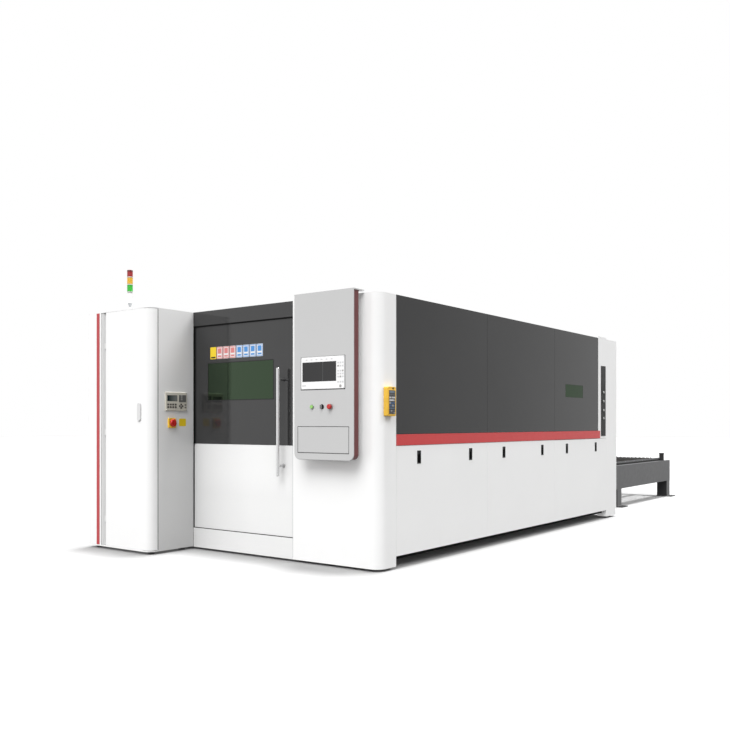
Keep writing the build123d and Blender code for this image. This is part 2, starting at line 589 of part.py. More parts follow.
with BuildPart() as exchange_button_2:
    rod_x(-14, 12, BUTTON_Y, BUTTON_Z[1], 11)
    rod_x(11, 20, BUTTON_Y, BUTTON_Z[1], 14)
exchange_button_2.part.label = "exchange_button_2"
export_step(exchange_button_2.part, "parts/exchange_button_2.step")

with BuildPart() as exchange_button_3:
    rod_x(-14, 12, BUTTON_Y, BUTTON_Z[2], 11)
    rod_x(11, 20, BUTTON_Y, BUTTON_Z[2], 14)
exchange_button_3.part.label = "exchange_button_3"
export_step(exchange_button_3.part, "parts/exchange_button_3.step")

with BuildPart() as exchange_button_4:
    rod_x(-14, 12, BUTTON_Y, BUTTON_Z[3], 11)
    rod_x(11, 20, BUTTON_Y, BUTTON_Z[3], 14)
exchange_button_4.part.label = "exchange_button_4"
export_step(exchange_button_4.part, "parts/exchange_button_4.step")

# ---------------------------------------------------------------------------
# Exchange table
# ---------------------------------------------------------------------------
TABLE_Y0, TABLE_Y1 = 5275.0, 8810.0
TABLE_LEGS = ((5300.0, 5450.0), (6384.0, 6553.0), (8647.0, 8800.0))

with BuildPart() as table_frame:
    mirrored(1157, 1165, TABLE_Y0, TABLE_Y1, 238, 575)
    mirrored(1095, 1165, TABLE_Y0, TABLE_Y1, 565, 575)
    mirrored(1095, 1165, TABLE_Y0, TABLE_Y1, 238, 248)
    for y0, y1 in TABLE_LEGS:
        mirrored(1005, 1165, y0, y1, FLOOR + 12, 239)
        mirrored(1004, 1157, y0 + 8, y1 - 8, FLOOR + 11, 230, Mode.SUBTRACT)
        mirrored(1000, 1244, y0 - 20, y1 + 45, FLOOR, FLOOR + 12)
        mirrored(1005, 1157, y0, y1, 230, 248)
        block(XC - 1157, XC + 1157, (y0 + y1) / 2 - 40, (y0 + y1) / 2 + 40, 247, 330)
        block(XC - 1150, XC + 1150, (y0 + y1) / 2 - 32, (y0 + y1) / 2 + 41, 256, 322, Mode.SUBTRACT)
        for s in (-1, 1):
            rod_z(FLOOR - 1, FLOOR + 13, XC + s * 1205, (y0 + y1) / 2, 9, Mode.SUBTRACT)
    mirrored(1040, 1100, 5265, 8650, UPPER_RAIL - 12, UPPER_RAIL)
    mirrored(1090, 1100, 5265, 8650, 566, UPPER_RAIL)
    mirrored(1040, 1158, 5275, 8650, LOWER_RAIL - 12, LOWER_RAIL)
    mirrored(1095, 1157, 8480, 8525, 574, 700)
    block(XC - 1158, XC + 1158, 8770, TABLE_Y1, 400, 566)
    block(XC - 1156, XC + 1156, 8778, TABLE_Y1 + 1, 408, 558, Mode.SUBTRACT)
table_frame.part.label = "table_frame"
export_step(table_frame.part, "parts/table_frame.step")


def pallet(y0, y1, rail):
    z0, z1 = rail + 43, rail + 163
    mirrored(970, 1030, y0, y1, z0, z1)
    mirrored(969, 1022, y0 - 1, y1 + 1, z0 + 8, z1 - 8, Mode.SUBTRACT)
    for ey in (y0, y1 - 60):
        block(XC - 1024, XC + 1024, ey, ey + 60, z0, z1)
        block(XC - 1021, XC + 1021, ey + 8, ey + 52, z0 + 8, z1 + 1, Mode.SUBTRACT)
    for cx in (-620, 0, 620):
        block(XC + cx - 30, XC + cx + 30, y0 + 1, y1 - 1, z0 + 6, z0 + 51)
        block(XC + cx - 24, XC + cx + 24, y0 + 61, y1 - 61, z0 + 5, z0 + 45, Mode.SUBTRACT)
    for sy in (y0 + 120, (y0 + y1) / 2, y1 - 120):
        mirrored(1029, 1086, sy - 60, sy + 60, rail + 0.3, rail + 63)


def slat_planes(y0):
    return [Plane(origin=(X_MID + XC, Y_MID + y0 + 140 + i * SLAT_PITCH, Z_MID),
                  x_dir=(1, 0, 0), z_dir=(0, -1, 0)) for i in range(SLATS)]


def slat_outline(rail, half=964.0, teeth=30):
    bottom, root, tip = rail + 94, rail + 175, rail + 210
    pitch = 2 * half / teeth
    pts = [(-half, bottom), (half, bottom), (half, root)]
    for i in range(teeth):
        xr = half - i * pitch
        pts += [(xr - pitch / 2, tip), (xr - pitch, root)]
    return pts


with BuildPart() as pallet_a:
    pallet(PALLET_Y0, PALLET_Y1, UPPER_RAIL)
pallet_a.part.label = "pallet_a"
export_step(pallet_a.part, "parts/pallet_a.step")

with BuildPart() as pallet_b:
    pallet(PALLET_Y0 + PALLET_SHIFT, PALLET_Y1 + PALLET_SHIFT, LOWER_RAIL)
pallet_b.part.label = "pallet_b"
export_step(pallet_b.part, "parts/pallet_b.step")

with BuildPart() as pallet_a_slats:
    with BuildSketch(*slat_planes(PALLET_Y0)):
        with BuildLine():
            Polyline(*slat_outline(UPPER_RAIL), close=True)
        make_face()
    extrude(amount=5)
pallet_a_slats.part.label = "pallet_a_slats"
export_step(pallet_a_slats.part, "parts/pallet_a_slats.step")

with BuildPart() as pallet_b_slats:
    with BuildSketch(*slat_planes(PALLET_Y0 + PALLET_SHIFT)):
        with BuildLine():
            Polyline(*slat_outline(LOWER_RAIL), close=True)
        make_face()
    extrude(amount=5)
pallet_b_slats.part.label = "pallet_b_slats"
export_step(pallet_b_slats.part, "parts/pallet_b_slats.step")

# ---------------------------------------------------------------------------
# Gantry, cross carriage and cutting head
# ---------------------------------------------------------------------------
with BuildPart() as gantry_beam:
    block(XC - 1295, XC + 1295, 1070, 1370, 1040, 1320)
    block(XC - 1296, XC + 1296, 1082, 1358, 1052, 1308, Mode.SUBTRACT)
    mirrored(1150, 1250, 1070, 1370, 962, 1041)
    mirrored(1179.5, 1220.5, 1060, 1380, 950, 985.4, Mode.SUBTRACT)
    block(XC - 1140, XC + 1140, 1056, 1071, 1085, 1110)
    block(XC - 1140, XC + 1140, 1056, 1071, 1250, 1275)
gantry_beam.part.label = "gantry_beam"
export_step(gantry_beam.part, "parts/gantry_beam.step")

with BuildPart() as y_carriage:
    block(XC - 150, XC + 150, 1025, 1055.6, 1060, 1300)
    block(XC - 60, XC + 60, 985, 1026, 1060, 1420)
y_carriage.part.label = "y_carriage"
export_step(y_carriage.part, "parts/y_carriage.step")

with BuildPart() as cutting_head:
    block(XC - 80, XC + 80, 940, 984.6, 1060, 1470)
    block(XC - 40, XC + 40, 890, 941, 1090, 1300)
    rod_z(1040, 1330, XC, 890, 45)
    with Locations((X_MID + XC, Y_MID + 890, Z_MID + 1015)):
        Cone(18, 34, 50)
    with Locations((X_MID + XC, Y_MID + 890, Z_MID + 975)):
        Cone(5, 14, 30)
cutting_head.part.label = "cutting_head"
export_step(cutting_head.part, "parts/cutting_head.step")
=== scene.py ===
import json
import math
import bpy
import bmesh
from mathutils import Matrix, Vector


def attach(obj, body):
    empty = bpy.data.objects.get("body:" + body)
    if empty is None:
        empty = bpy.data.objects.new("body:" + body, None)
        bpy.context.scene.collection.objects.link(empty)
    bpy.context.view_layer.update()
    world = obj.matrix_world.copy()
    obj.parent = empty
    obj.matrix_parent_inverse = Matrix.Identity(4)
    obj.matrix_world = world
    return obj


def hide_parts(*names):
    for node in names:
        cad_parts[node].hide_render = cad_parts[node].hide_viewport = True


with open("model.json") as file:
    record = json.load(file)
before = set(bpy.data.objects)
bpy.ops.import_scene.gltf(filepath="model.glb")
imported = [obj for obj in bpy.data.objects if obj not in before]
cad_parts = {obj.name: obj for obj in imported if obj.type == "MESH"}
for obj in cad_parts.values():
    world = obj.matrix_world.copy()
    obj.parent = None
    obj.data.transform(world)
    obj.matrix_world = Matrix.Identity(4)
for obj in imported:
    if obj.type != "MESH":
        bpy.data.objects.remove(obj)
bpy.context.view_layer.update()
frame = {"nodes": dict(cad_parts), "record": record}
NODES = frame["nodes"]

# Positions are in millimetres from the front right lower corner of the enclosure,
# x to the right, y to the rear, z up, as in the construction; P() carries them
# into the shared frame in metres.  The floor is Z_MID below that corner.
X_MID, Y_MID, Z_MID, XC = 1540.0, -4153.0, 22.0, -1565.0
FLOOR = -Z_MID


def P(x, y, z):
    return Vector(((x + X_MID) / 1000.0, (y + Y_MID) / 1000.0, (z + Z_MID) / 1000.0))


# ---------------------------------------------------------------------------
# Materials
# ---------------------------------------------------------------------------
def shader(name):
    m = bpy.data.materials.new(name)
    m.use_nodes = True
    nt = m.node_tree
    nt.nodes.clear()
    out = nt.nodes.new("ShaderNodeOutputMaterial")
    bsdf = nt.nodes.new("ShaderNodeBsdfPrincipled")
    tc = nt.nodes.new("ShaderNodeTexCoord")
    nt.links.new(bsdf.outputs["BSDF"], out.inputs["Surface"])
    return m, nt, bsdf, tc


def noise(nt, tc, scale, detail=3.0, rough=0.55, stretch=None):
    n = nt.nodes.new("ShaderNodeTexNoise")
    n.inputs["Scale"].default_value = scale
    n.inputs["Detail"].default_value = detail
    n.inputs["Roughness"].default_value = rough
    if stretch:
        mp = nt.nodes.new("ShaderNodeMapping")
        mp.inputs["Scale"].default_value = stretch
        nt.links.new(tc.outputs["Object"], mp.inputs["Vector"])
        nt.links.new(mp.outputs["Vector"], n.inputs["Vector"])
    else:
        nt.links.new(tc.outputs["Object"], n.inputs["Vector"])
    return n.outputs[0]


def remap(nt, fac, lo, hi, a=0.3, b=0.7):
    r = nt.nodes.new("ShaderNodeMapRange")
    r.inputs["From Min"].default_value = a
    r.inputs["From Max"].default_value = b
    r.inputs["To Min"].default_value = lo
    r.inputs["To Max"].default_value = hi
    nt.links.new(fac, r.inputs["Value"])
    return r.outputs["Result"]


def mix(nt, fac, a, b):
    n = nt.nodes.new("ShaderNodeMix")
    n.data_type = "RGBA"
    nt.links.new(fac, n.inputs[0])
    for value, sock in ((a, n.inputs[6]), (b, n.inputs[7])):
        if isinstance(value, tuple):
            sock.default_value = value + (1.0,)
        else:
            nt.links.new(value, sock)
    return n.outputs[2]


def times(nt, a, b):
    n = nt.nodes.new("ShaderNodeMath")
    n.operation = "MULTIPLY"
    nt.links.new(a, n.inputs[0])
    nt.links.new(b, n.inputs[1])
    return n.outputs[0]


def bump(nt, height, depth, normal=None):
    b = nt.nodes.new("ShaderNodeBump")
    b.inputs["Strength"].default_value = 1.0
    b.inputs["Distance"].default_value = depth
    nt.links.new(height, b.inputs["Height"])
    if normal is not None:
        nt.links.new(normal, b.inputs["Normal"])
    return b.outputs["Normal"]


def shade(c, k):
    return tuple(min(1.0, v * k) for v in c)


def height_fade(nt, tc, z0, z1, lo=1.0, hi=0.0):
    sep = nt.nodes.new("ShaderNodeSeparateXYZ")
    nt.links.new(tc.outputs["Object"], sep.inputs[0])
    return remap(nt, sep.outputs["Z"], lo, hi, z0, z1)


def paint(name, color, rough=0.35, metallic=0.0, vary=0.03, vary_scale=1.2, rough_vary=0.05,
          grain=420.0, grain_depth=0.00005, wave=0.0, wave_scale=1.6, dust=0.0, coat=0.0,
          coat_rough=0.06, spec=0.5, stretch=None, streak=0.0, corner_shade=0.0, reach=0.8, top=None):
    m, nt, bsdf, tc = shader(name)
    n1 = noise(nt, tc, vary_scale, 4.0, 0.6, stretch)
    col = mix(nt, remap(nt, n1, 0.0, 1.0), shade(color, 1 - vary), shade(color, 1 + vary))
    if streak:
        n5 = noise(nt, tc, 5.0, 3.0, 0.6, (9.0, 9.0, 0.5))
        col = mix(nt, remap(nt, n5, 0.0, streak, 0.45, 0.8), col, shade(color, 0.55))
    if dust:
        n2 = noise(nt, tc, 7.0, 5.0, 0.65)
        fac = times(nt, height_fade(nt, tc, 0.0, 0.30), remap(nt, n2, 0.0, dust, 0.25, 0.75))
        col = mix(nt, fac, col, (0.30, 0.28, 0.25))
    # Painted shade: an ambient occlusion node darkens the colour in corners and recesses; the floor's share is divided
    # out near the ground, and with top the shade stays below that height.
    if corner_shade:
        ao = nt.nodes.new("ShaderNodeAmbientOcclusion")
        ao.samples = 12
        ao.inputs["Distance"].default_value = reach
        walls = nt.nodes.new("ShaderNodeMath")
        walls.operation = "DIVIDE"
        nt.links.new(ao.outputs["AO"], walls.inputs[0])
        nt.links.new(height_fade(nt, tc, 0.0, 0.55, 0.60, 1.0), walls.inputs[1])
        fac = remap(nt, walls.outputs[0], corner_shade, 0.0, 0.5, 1.0)
        if top:
            fac = times(nt, fac, height_fade(nt, tc, top[0], top[1]))
        col = mix(nt, fac, col, shade(color, 0.35))
    nt.links.new(col, bsdf.inputs["Base Color"])
    n3 = noise(nt, tc, 14.0, 5.0, 0.6, stretch)
    nt.links.new(remap(nt, n3, max(0.02, rough - rough_vary), rough + rough_vary), bsdf.inputs["Roughness"])
    bsdf.inputs["Metallic"].default_value = metallic
    bsdf.inputs["Specular IOR Level"].default_value = spec
    bsdf.inputs["Coat Weight"].default_value = coat
    bsdf.inputs["Coat Roughness"].default_value = coat_rough
    nrm = bump(nt, noise(nt, tc, grain, 2.0, 0.5, stretch), grain_depth)
    if wave:
        nrm = bump(nt, noise(nt, tc, wave_scale, 1.0, 0.4), wave, nrm)
    nt.links.new(nrm, bsdf.inputs["Normal"])
    return m


def brushed(name, color, rough=0.3, along="z", depth=0.00004, vary=0.12):
    fine, coarse = 900.0, 6.0
    stretch = {"x": (coarse / 100, 1, 1), "y": (1, coarse / 100, 1), "z": (1, 1, coarse / 100)}[along]
    m, nt, bsdf, tc = shader(name)
    lines = noise(nt, tc, fine, 2.0, 0.6, stretch)
    soft = noise(nt, tc, 5.0, 4.0, 0.6)
    col = mix(nt, remap(nt, lines, 0.0, 1.0), shade(color, 1 - vary), shade(color, 1 + vary))
    col = mix(nt, remap(nt, soft, 0.0, 0.25), col, shade(color, 0.75))
    nt.links.new(col, bsdf.inputs["Base Color"])
    nt.links.new(remap(nt, lines, rough - 0.08, rough + 0.1), bsdf.inputs["Roughness"])
    bsdf.inputs["Metallic"].default_value = 1.0
    nt.links.new(bump(nt, lines, depth), bsdf.inputs["Normal"])
    return m


def glowing(name, color, strength, rough=0.25):
    m, nt, bsdf, tc = shader(name)
    rib = nt.nodes.new("ShaderNodeTexWave")
    rib.wave_type, rib.bands_direction = "BANDS", "Z"
    rib.inputs["Scale"].default_value = 38.0
    rib.inputs["Distortion"].default_value = 0.0
    nt.links.new(tc.outputs["Object"], rib.inputs["Vector"])
    col = mix(nt, rib.outputs[1], shade(color, 0.72), shade(color, 1.0))
    nt.links.new(col, bsdf.inputs["Base Color"])
    nt.links.new(col, bsdf.inputs["Emission Color"])
    bsdf.inputs["Emission Strength"].default_value = strength
    nt.links.new(remap(nt, noise(nt, tc, 40.0), rough - 0.05, rough + 0.08), bsdf.inputs["Roughness"])
    nt.links.new(bump(nt, rib.outputs[1], 0.0006), bsdf.inputs["Normal"])
    return m


def glazing(name, color, rough=0.04, spec=0.78, tint=(0.61, 1.0, 0.56)):
    m, nt, bsdf, tc = shader(name)
    n1 = noise(nt, tc, 2.2, 3.0)
    col = mix(nt, remap(nt, n1, 0.0, 1.0), shade(color, 0.9), shade(color, 1.12))
    nt.links.new(col, bsdf.inputs["Base Color"])
    nt.links.new(remap(nt, noise(nt, tc, 18.0, 5.0), rough, rough + 0.05), bsdf.inputs["Roughness"])
    bsdf.inputs["Specular IOR Level"].default_value = spec
    bsdf.inputs["Specular Tint"].default_value = tint + (1.0,)
    nt.links.new(bump(nt, noise(nt, tc, 3.0, 1.0), 0.0004), bsdf.inputs["Normal"])
    return m


def screen(name, dark, light, axis="X", a=0.0, b=1.0, rough=0.12):
    m, nt, bsdf, tc = shader(name)
    sep = nt.nodes.new("ShaderNodeSeparateXYZ")
    nt.links.new(tc.outputs["Object"], sep.inputs[0])
    col = mix(nt, remap(nt, sep.outputs[axis], 0.0, 1.0, a, b), dark, light)
    nt.links.new(col, bsdf.inputs["Base Color"])
    nt.links.new(remap(nt, noise(nt, tc, 30.0, 4.0), rough, rough + 0.06), bsdf.inputs["Roughness"])
    nt.links.new(bump(nt, noise(nt, tc, 1500.0, 1.0), 0.00001), bsdf.inputs["Normal"])
    return m


def cut_steel(name):
    m, nt, bsdf, tc = shader(name)
    n1 = noise(nt, tc, 24.0, 6.0, 0.7)
    n2 = noise(nt, tc, 5.0, 4.0, 0.6)
    col = mix(nt, remap(nt, n1, 0.0, 1.0), (0.045, 0.043, 0.042), (0.10, 0.098, 0.096))
    col = mix(nt, remap(nt, n2, 0.0, 0.55, 0.5, 0.75), col, (0.075, 0.045, 0.03))
    nt.links.new(col, bsdf.inputs["Base Color"])
    bsdf.inputs["Metallic"].default_value = 0.6
    nt.links.new(remap(nt, n1, 0.45, 0.7), bsdf.inputs["Roughness"])
    nt.links.new(bump(nt, n1, 0.0006), bsdf.inputs["Normal"])
    return m


WHITE = paint("powder_white", (0.85, 0.85, 0.847), 0.38, wave=0.0016, dust=0.05, vary=0.012, grain_depth=0.00004)
# Darker copy of the white powder coat for the cabinet's right-facing side, with painted corner shade below about one
# metre: painted shade.
WHITE_SIDE_SHADED = paint("powder_white_cabinet_side_shaded", (0.775, 0.775, 0.772), 0.40, wave=0.0016, dust=0.05, vary=0.012, grain_depth=0.00004,
                   corner_shade=0.40, top=(0.95, 1.25))
# Darker copy of the white powder coat for the door leaf and sill, with painted corner shade near the cabinet: painted
# shade.
WHITE_LEAF_SHADED = paint("powder_white_door_shaded", (0.812, 0.812, 0.809), 0.39, wave=0.0014, dust=0.05, vary=0.012, grain_depth=0.00004,
                   corner_shade=0.38)
DARK = paint("dark_gloss_panel", (0.020, 0.020, 0.0205), 0.13, wave=0.0016, wave_scale=1.3, vary=0.12, rough_vary=0.03, grain_depth=0.000015, spec=0.55)
DOOR_DARK = paint("dark_gloss_door", (0.0275, 0.0275, 0.028), 0.06, wave=0.0010, wave_scale=1.3, vary=0.06, rough_vary=0.02, grain_depth=0.000006, spec=0.55)
DARK_IN = paint("dark_inner_sheet", (0.022, 0.022, 0.023), 0.5, vary=0.1)
RED = paint("red_satin", (0.55, 0.042, 0.044), 0.36, vary=0.04)
RED_MUTE = paint("red_stripe", (0.46, 0.048, 0.055), 0.40, vary=0.04)
DARK_RED = paint("dark_red_satin", (0.135, 0.026, 0.027), 0.42, vary=0.06)
BED = paint("bed_grey_green", (0.20, 0.215, 0.215), 0.48, vary=0.08, dust=0.5, streak=0.2)
ZINC = paint("zinc_plate", (0.52, 0.53, 0.55), 0.36, metallic=0.9, vary=0.12, vary_scale=30.0, rough_vary=0.1)
GROUND = brushed("ground_steel", (0.55, 0.56, 0.57), 0.25, "y")
GALV = paint("galvanised_sheet", (0.46, 0.47, 0.48), 0.42, metallic=0.85, vary=0.2, vary_scale=16.0, rough_vary=0.12)
GLASS = glazing("green_glazing", (0.0045, 0.0060, 0.0042), 0.03)
GLASS_SIDE = glazing("green_glazing_side", (0.003, 0.026, 0.0015), 0.03, 0.20, (0.70, 1.0, 0.65))
ALU = brushed("grey_aluminium", (0.62, 0.63, 0.63), 0.38, "z", 0.00002, 0.05)
POST = paint("post_grey", (0.66, 0.66, 0.655), 0.45, vary=0.015, grain_depth=0.00002)
COVER = paint("cover_grey", (0.585, 0.585, 0.582), 0.45, vary=0.015, grain_depth=0.00002)
GREY = paint("grey_case", (0.30, 0.31, 0.32), 0.42, vary=0.05)
BEIGE = paint("beige_plastic", (0.57, 0.545, 0.475), 0.46, vary=0.03, grain=700.0, grain_depth=0.00008)
YELLOW = paint("yellow_plastic", (0.86, 0.54, 0.055), 0.38, vary=0.04)
RUBBER_Y = paint("yellow_rubber", (0.74, 0.44, 0.040), 0.44, vary=0.08, vary_scale=26.0, grain=900.0, grain_depth=0.0001)
PALE = paint("light_grey_plastic", (0.72, 0.72, 0.71), 0.40, vary=0.02)
LENS_G = glowing("lens_green", (0.035, 0.40, 0.035), 0.10)
LENS_A = glowing("lens_amber", (0.68, 0.38, 0.030), 0.10)
LENS_R = glowing("lens_red", (0.32, 0.018, 0.021), 0.05)
LIP_G = paint("lens_lip_green", (0.022, 0.16, 0.022), 0.35, vary=0.08)
LIP_A = paint("lens_lip_amber", (0.34, 0.18, 0.020), 0.35, vary=0.08)
LIP_R = paint("lens_cap_red", (0.060, 0.010, 0.012), 0.35, vary=0.08)
# Roof grey set darker to offset the strong top lamp: painted shade.
ROOF_SHADED = paint("roof_grey_darkened_for_top_lamp", (0.185, 0.185, 0.187), 0.42, wave=0.0016, vary=0.05, streak=0.06)
STANDOFF = paint("standoff_steel", (0.56, 0.56, 0.565), 0.12, metallic=1.0, vary=0.04, vary_scale=60.0, rough_vary=0.02, grain_depth=0.000004)
FLANGE = paint("flange_grey", (0.42, 0.42, 0.42), 0.42, vary=0.03, vary_scale=40.0)
CONSOLE = paint("console_grey", (0.510, 0.510, 0.510), 0.40, vary=0.012, wave=0.0010, grain=520.0)
BEZEL = paint("bezel_white", (0.84, 0.84, 0.84), 0.30, vary=0.01)
DISPLAY = screen("display_dark", (0.010, 0.010, 0.0105), (0.016, 0.016, 0.0165), "X", 0.85, 1.21)
BLACK = paint("black_plastic", (0.010, 0.010, 0.0105), 0.46, vary=0.15, grain=800.0, grain_depth=0.0001, spec=0.35)
SEAL = paint("black_seal", (0.004, 0.004, 0.004), 0.75, vary=0.3, grain=500.0, grain_depth=0.0001, spec=0.12)
FOOT = paint("foot_black_oxide", (0.020, 0.020, 0.021), 0.5, vary=0.2, vary_scale=20.0, dust=0.05)
RUBBER = paint("black_rubber", (0.010, 0.010, 0.010), 0.62, vary=0.2, grain=500.0, grain_depth=0.0001)
TABLE = paint("table_grey", (0.100, 0.101, 0.103), 0.44, vary=0.07, dust=0.12, streak=0.10)
# Dark primer for foot plates and end posts, also used as painted shade on the low leg faces turned to the front.
TABLE_PRIMER_AND_SHADE = paint("table_dark_primer_and_shade", (0.024, 0.024, 0.025), 0.65, vary=0.1, spec=0.25)
TUBE = paint("satin_steel_tube", (0.87, 0.87, 0.875), 0.20, metallic=0.9, vary=0.02, vary_scale=40.0, rough_vary=0.02, grain=900.0, grain_depth=0.000004, stretch=(1.0, 1.0, 0.04))
LATCH = paint("latch_grey", (0.66, 0.66, 0.66), 0.30, vary=0.03)
GREEN_B = glowing("button_green", (0.30, 0.60, 0.16), 0.12)
RED_B = paint("button_red", (0.46, 0.014, 0.011), 0.26, vary=0.04, coat=0.15)
PALE_B = paint("button_pale", (0.44, 0.45, 0.44), 0.32, vary=0.04)
GANTRY = paint("gantry_paint", (0.42, 0.43, 0.44), 0.42, vary=0.05)
SLAT = cut_steel("slat_steel")
STEEL = paint("bolt_steel", (0.50, 0.50, 0.51), 0.34, metallic=1.0, vary=0.15, vary_scale=40.0)
TILE_W = paint("tile_white", (0.74, 0.74, 0.73), 0.32, vary=0.02)
TILE_Y = paint("tile_yellow", (0.80, 0.58, 0.02), 0.32, vary=0.03)
TILE_R = paint("tile_red", (0.62, 0.07, 0.07), 0.32, vary=0.03)
TILE_B = paint("tile_blue", (0.07, 0.26, 0.62), 0.32, vary=0.03)
TILE_P = paint("tile_rose", (0.62, 0.20, 0.20), 0.32, vary=0.03)
TILE_L = paint("tile_sky", (0.06, 0.25, 0.60), 0.32, vary=0.03)
KEY_DARK = paint("key_dark", (0.030, 0.024, 0.022), 0.45, vary=0.08)
KEY_MID = paint("key_mid", (0.13, 0.13, 0.125), 0.45, vary=0.06)
KEY_GREY = paint("key_grey", (0.34, 0.335, 0.32), 0.45, vary=0.04)
KEY_DIM = paint("key_dim", (0.11, 0.11, 0.112), 0.45, vary=0.06)
KEY_PALE = paint("key_pale", (0.58, 0.58, 0.585), 0.42, vary=0.03)
KEY_BLUE = paint("key_blue", (0.055, 0.105, 0.20), 0.42, vary=0.06)
LCD_TEAL = screen("lcd_teal", (0.006, 0.018, 0.022), (0.20, 0.21, 0.20), "Y", -4.475, -4.372)
LCD_BLUE = screen("lcd_bluegrey", (0.10, 0.14, 0.19), (0.17, 0.21, 0.25), "Z", 1.412, 1.482)
COPPER = brushed("nozzle_copper", (0.72, 0.36, 0.20), 0.28, "z")
BLUE_CASE = paint("motor_case", (0.035, 0.036, 0.04), 0.40, vary=0.1)

SLOT = {
    "white_paint": WHITE, "dark_gloss": DARK, "red_paint": RED, "dark_red_paint": DARK_RED,
    "bed_paint": BED, "zinc_steel": ZINC, "ground_steel": GROUND, "galvanised_sheet": GALV,
    "green_glazing": GLASS, "grey_aluminium": POST, "grey_paint": GREY, "beige_plastic": BEIGE,
    "yellow_plastic": YELLOW, "yellow_rubber": RUBBER_Y, "light_grey_plastic": PALE,
    "lens_green": LENS_G, "lens_amber": LENS_A, "lens_red": LENS_R, "console_grey": CONSOLE,
    "bezel_white": BEZEL, "display_dark": DISPLAY, "black_plastic": BLACK, "table_grey": TABLE,
    "steel_tube": TUBE, "latch_grey": LATCH, "button_green": GREEN_B, "button_red": RED_B,
    "button_pale": PALE_B, "gantry_paint": GANTRY, "slat_steel": SLAT,
}

for part in frame["record"]["subparts"]:
    ob = NODES[part["node"]]
    ob.data.materials.clear()
    ob.data.materials.append(SLOT[part["material_slot"]])


def split(node, extra, pick):
    """Gives some faces of a node another finish, chosen by face centre (mm) and normal."""
    me = NODES[node].data
    base = len(me.materials)
    for mat in extra:
        me.materials.append(mat)
    for poly in me.polygons:
        c = poly.center
        k = pick(c.x * 1000 - X_MID, c.y * 1000 - Y_MID, c.z * 1000 - Z_MID, poly.normal)
        poly.material_index = 0 if k is None else base + k


TX, TY = -2784.0, -300.0


def neck(x, y, z, n):
    return 0 if math.hypot(x - TX, y - TY) < 25.6 and abs(n.z) < 0.5 else None


# The cabinet's right-facing faces take the darker white: painted shade.
split("cabinet_shell", [WHITE_SIDE_SHADED], lambda x, y, z, n: 0 if n.x > 0.5 else None)
# Door leaf and sill take the darker white: painted shade.
for name in ("door_leaf", "front_sill"):
    split(name, [WHITE_LEAF_SHADED], lambda x, y, z, n: 0)
split("cabinet_door", [COVER], lambda x, y, z, n: 0 if x < -2854.4 and y > -522.5 else None)
split("left_side_panels", [DARK], lambda x, y, z, n: 0 if z > 1050 else None)
split("console_housing", [WHITE], lambda x, y, z, n: 0 if y > -73 and z < 2255 else None)
for name in ("door_dark_skin", "front_header"):
    split(name, [DOOR_DARK], lambda x, y, z, n: 0)
# Foot plates and end posts take the dark primer; the low leg faces turned to the front (-Y) take it as painted shade,
# where the machine's shadow falls.
split("table_frame", [TABLE_PRIMER_AND_SHADE],
      lambda x, y, z, n: 0 if z < FLOOR + 12.5 or (z < 236 and n.y < -0.7) or (z > 577 and 8479 < y < 8526) else None)
# Standoffs are steel; the flange faces take the dark door finish above and mid grey below, chosen by height: painted
# reflection of the leaf around them.
split("door_handle", [STANDOFF, DOOR_DARK, FLANGE],
      lambda x, y, z, n: None if y < -45.5 else (0 if y < 6.9 else (1 if z > 1200 else 2)))
split("right_window", [GLASS_SIDE], lambda x, y, z, n: 0)
split("red_trim", [RED_MUTE], lambda x, y, z, n: 0 if y < -500 else None)
split("levelling_feet", [FOOT], lambda x, y, z, n: 0)
split("roof_panel", [ROOF_SHADED], lambda x, y, z, n: 0)
split("stack_light_green", [PALE], neck)
split("stack_light_amber", [PALE], neck)
split("stack_light_red", [PALE], neck)
split("stack_light_base", [STEEL, GREY, KEY_GREY],
      lambda x, y, z, n: 1 if 2316 < z < 2357 and abs(n.z) < 0.98 and math.hypot(x - TX, y - TY) < 23 else (2 if z > 2449 else None))
split("side_estop_button", [KEY_GREY], lambda x, y, z, n: 0 if x < -2189 else None)
# Right-facing faces of the key handle take pale grey: a painted highlight.
split("key_switch", [KEY_PALE], lambda x, y, z, n: 0 if y < -156.5 and n.x > 0.5 else None)
split("cutting_head", [STEEL, COPPER],
      lambda x, y, z, n: 1 if z < 991 else (0 if z < 1041 else None))


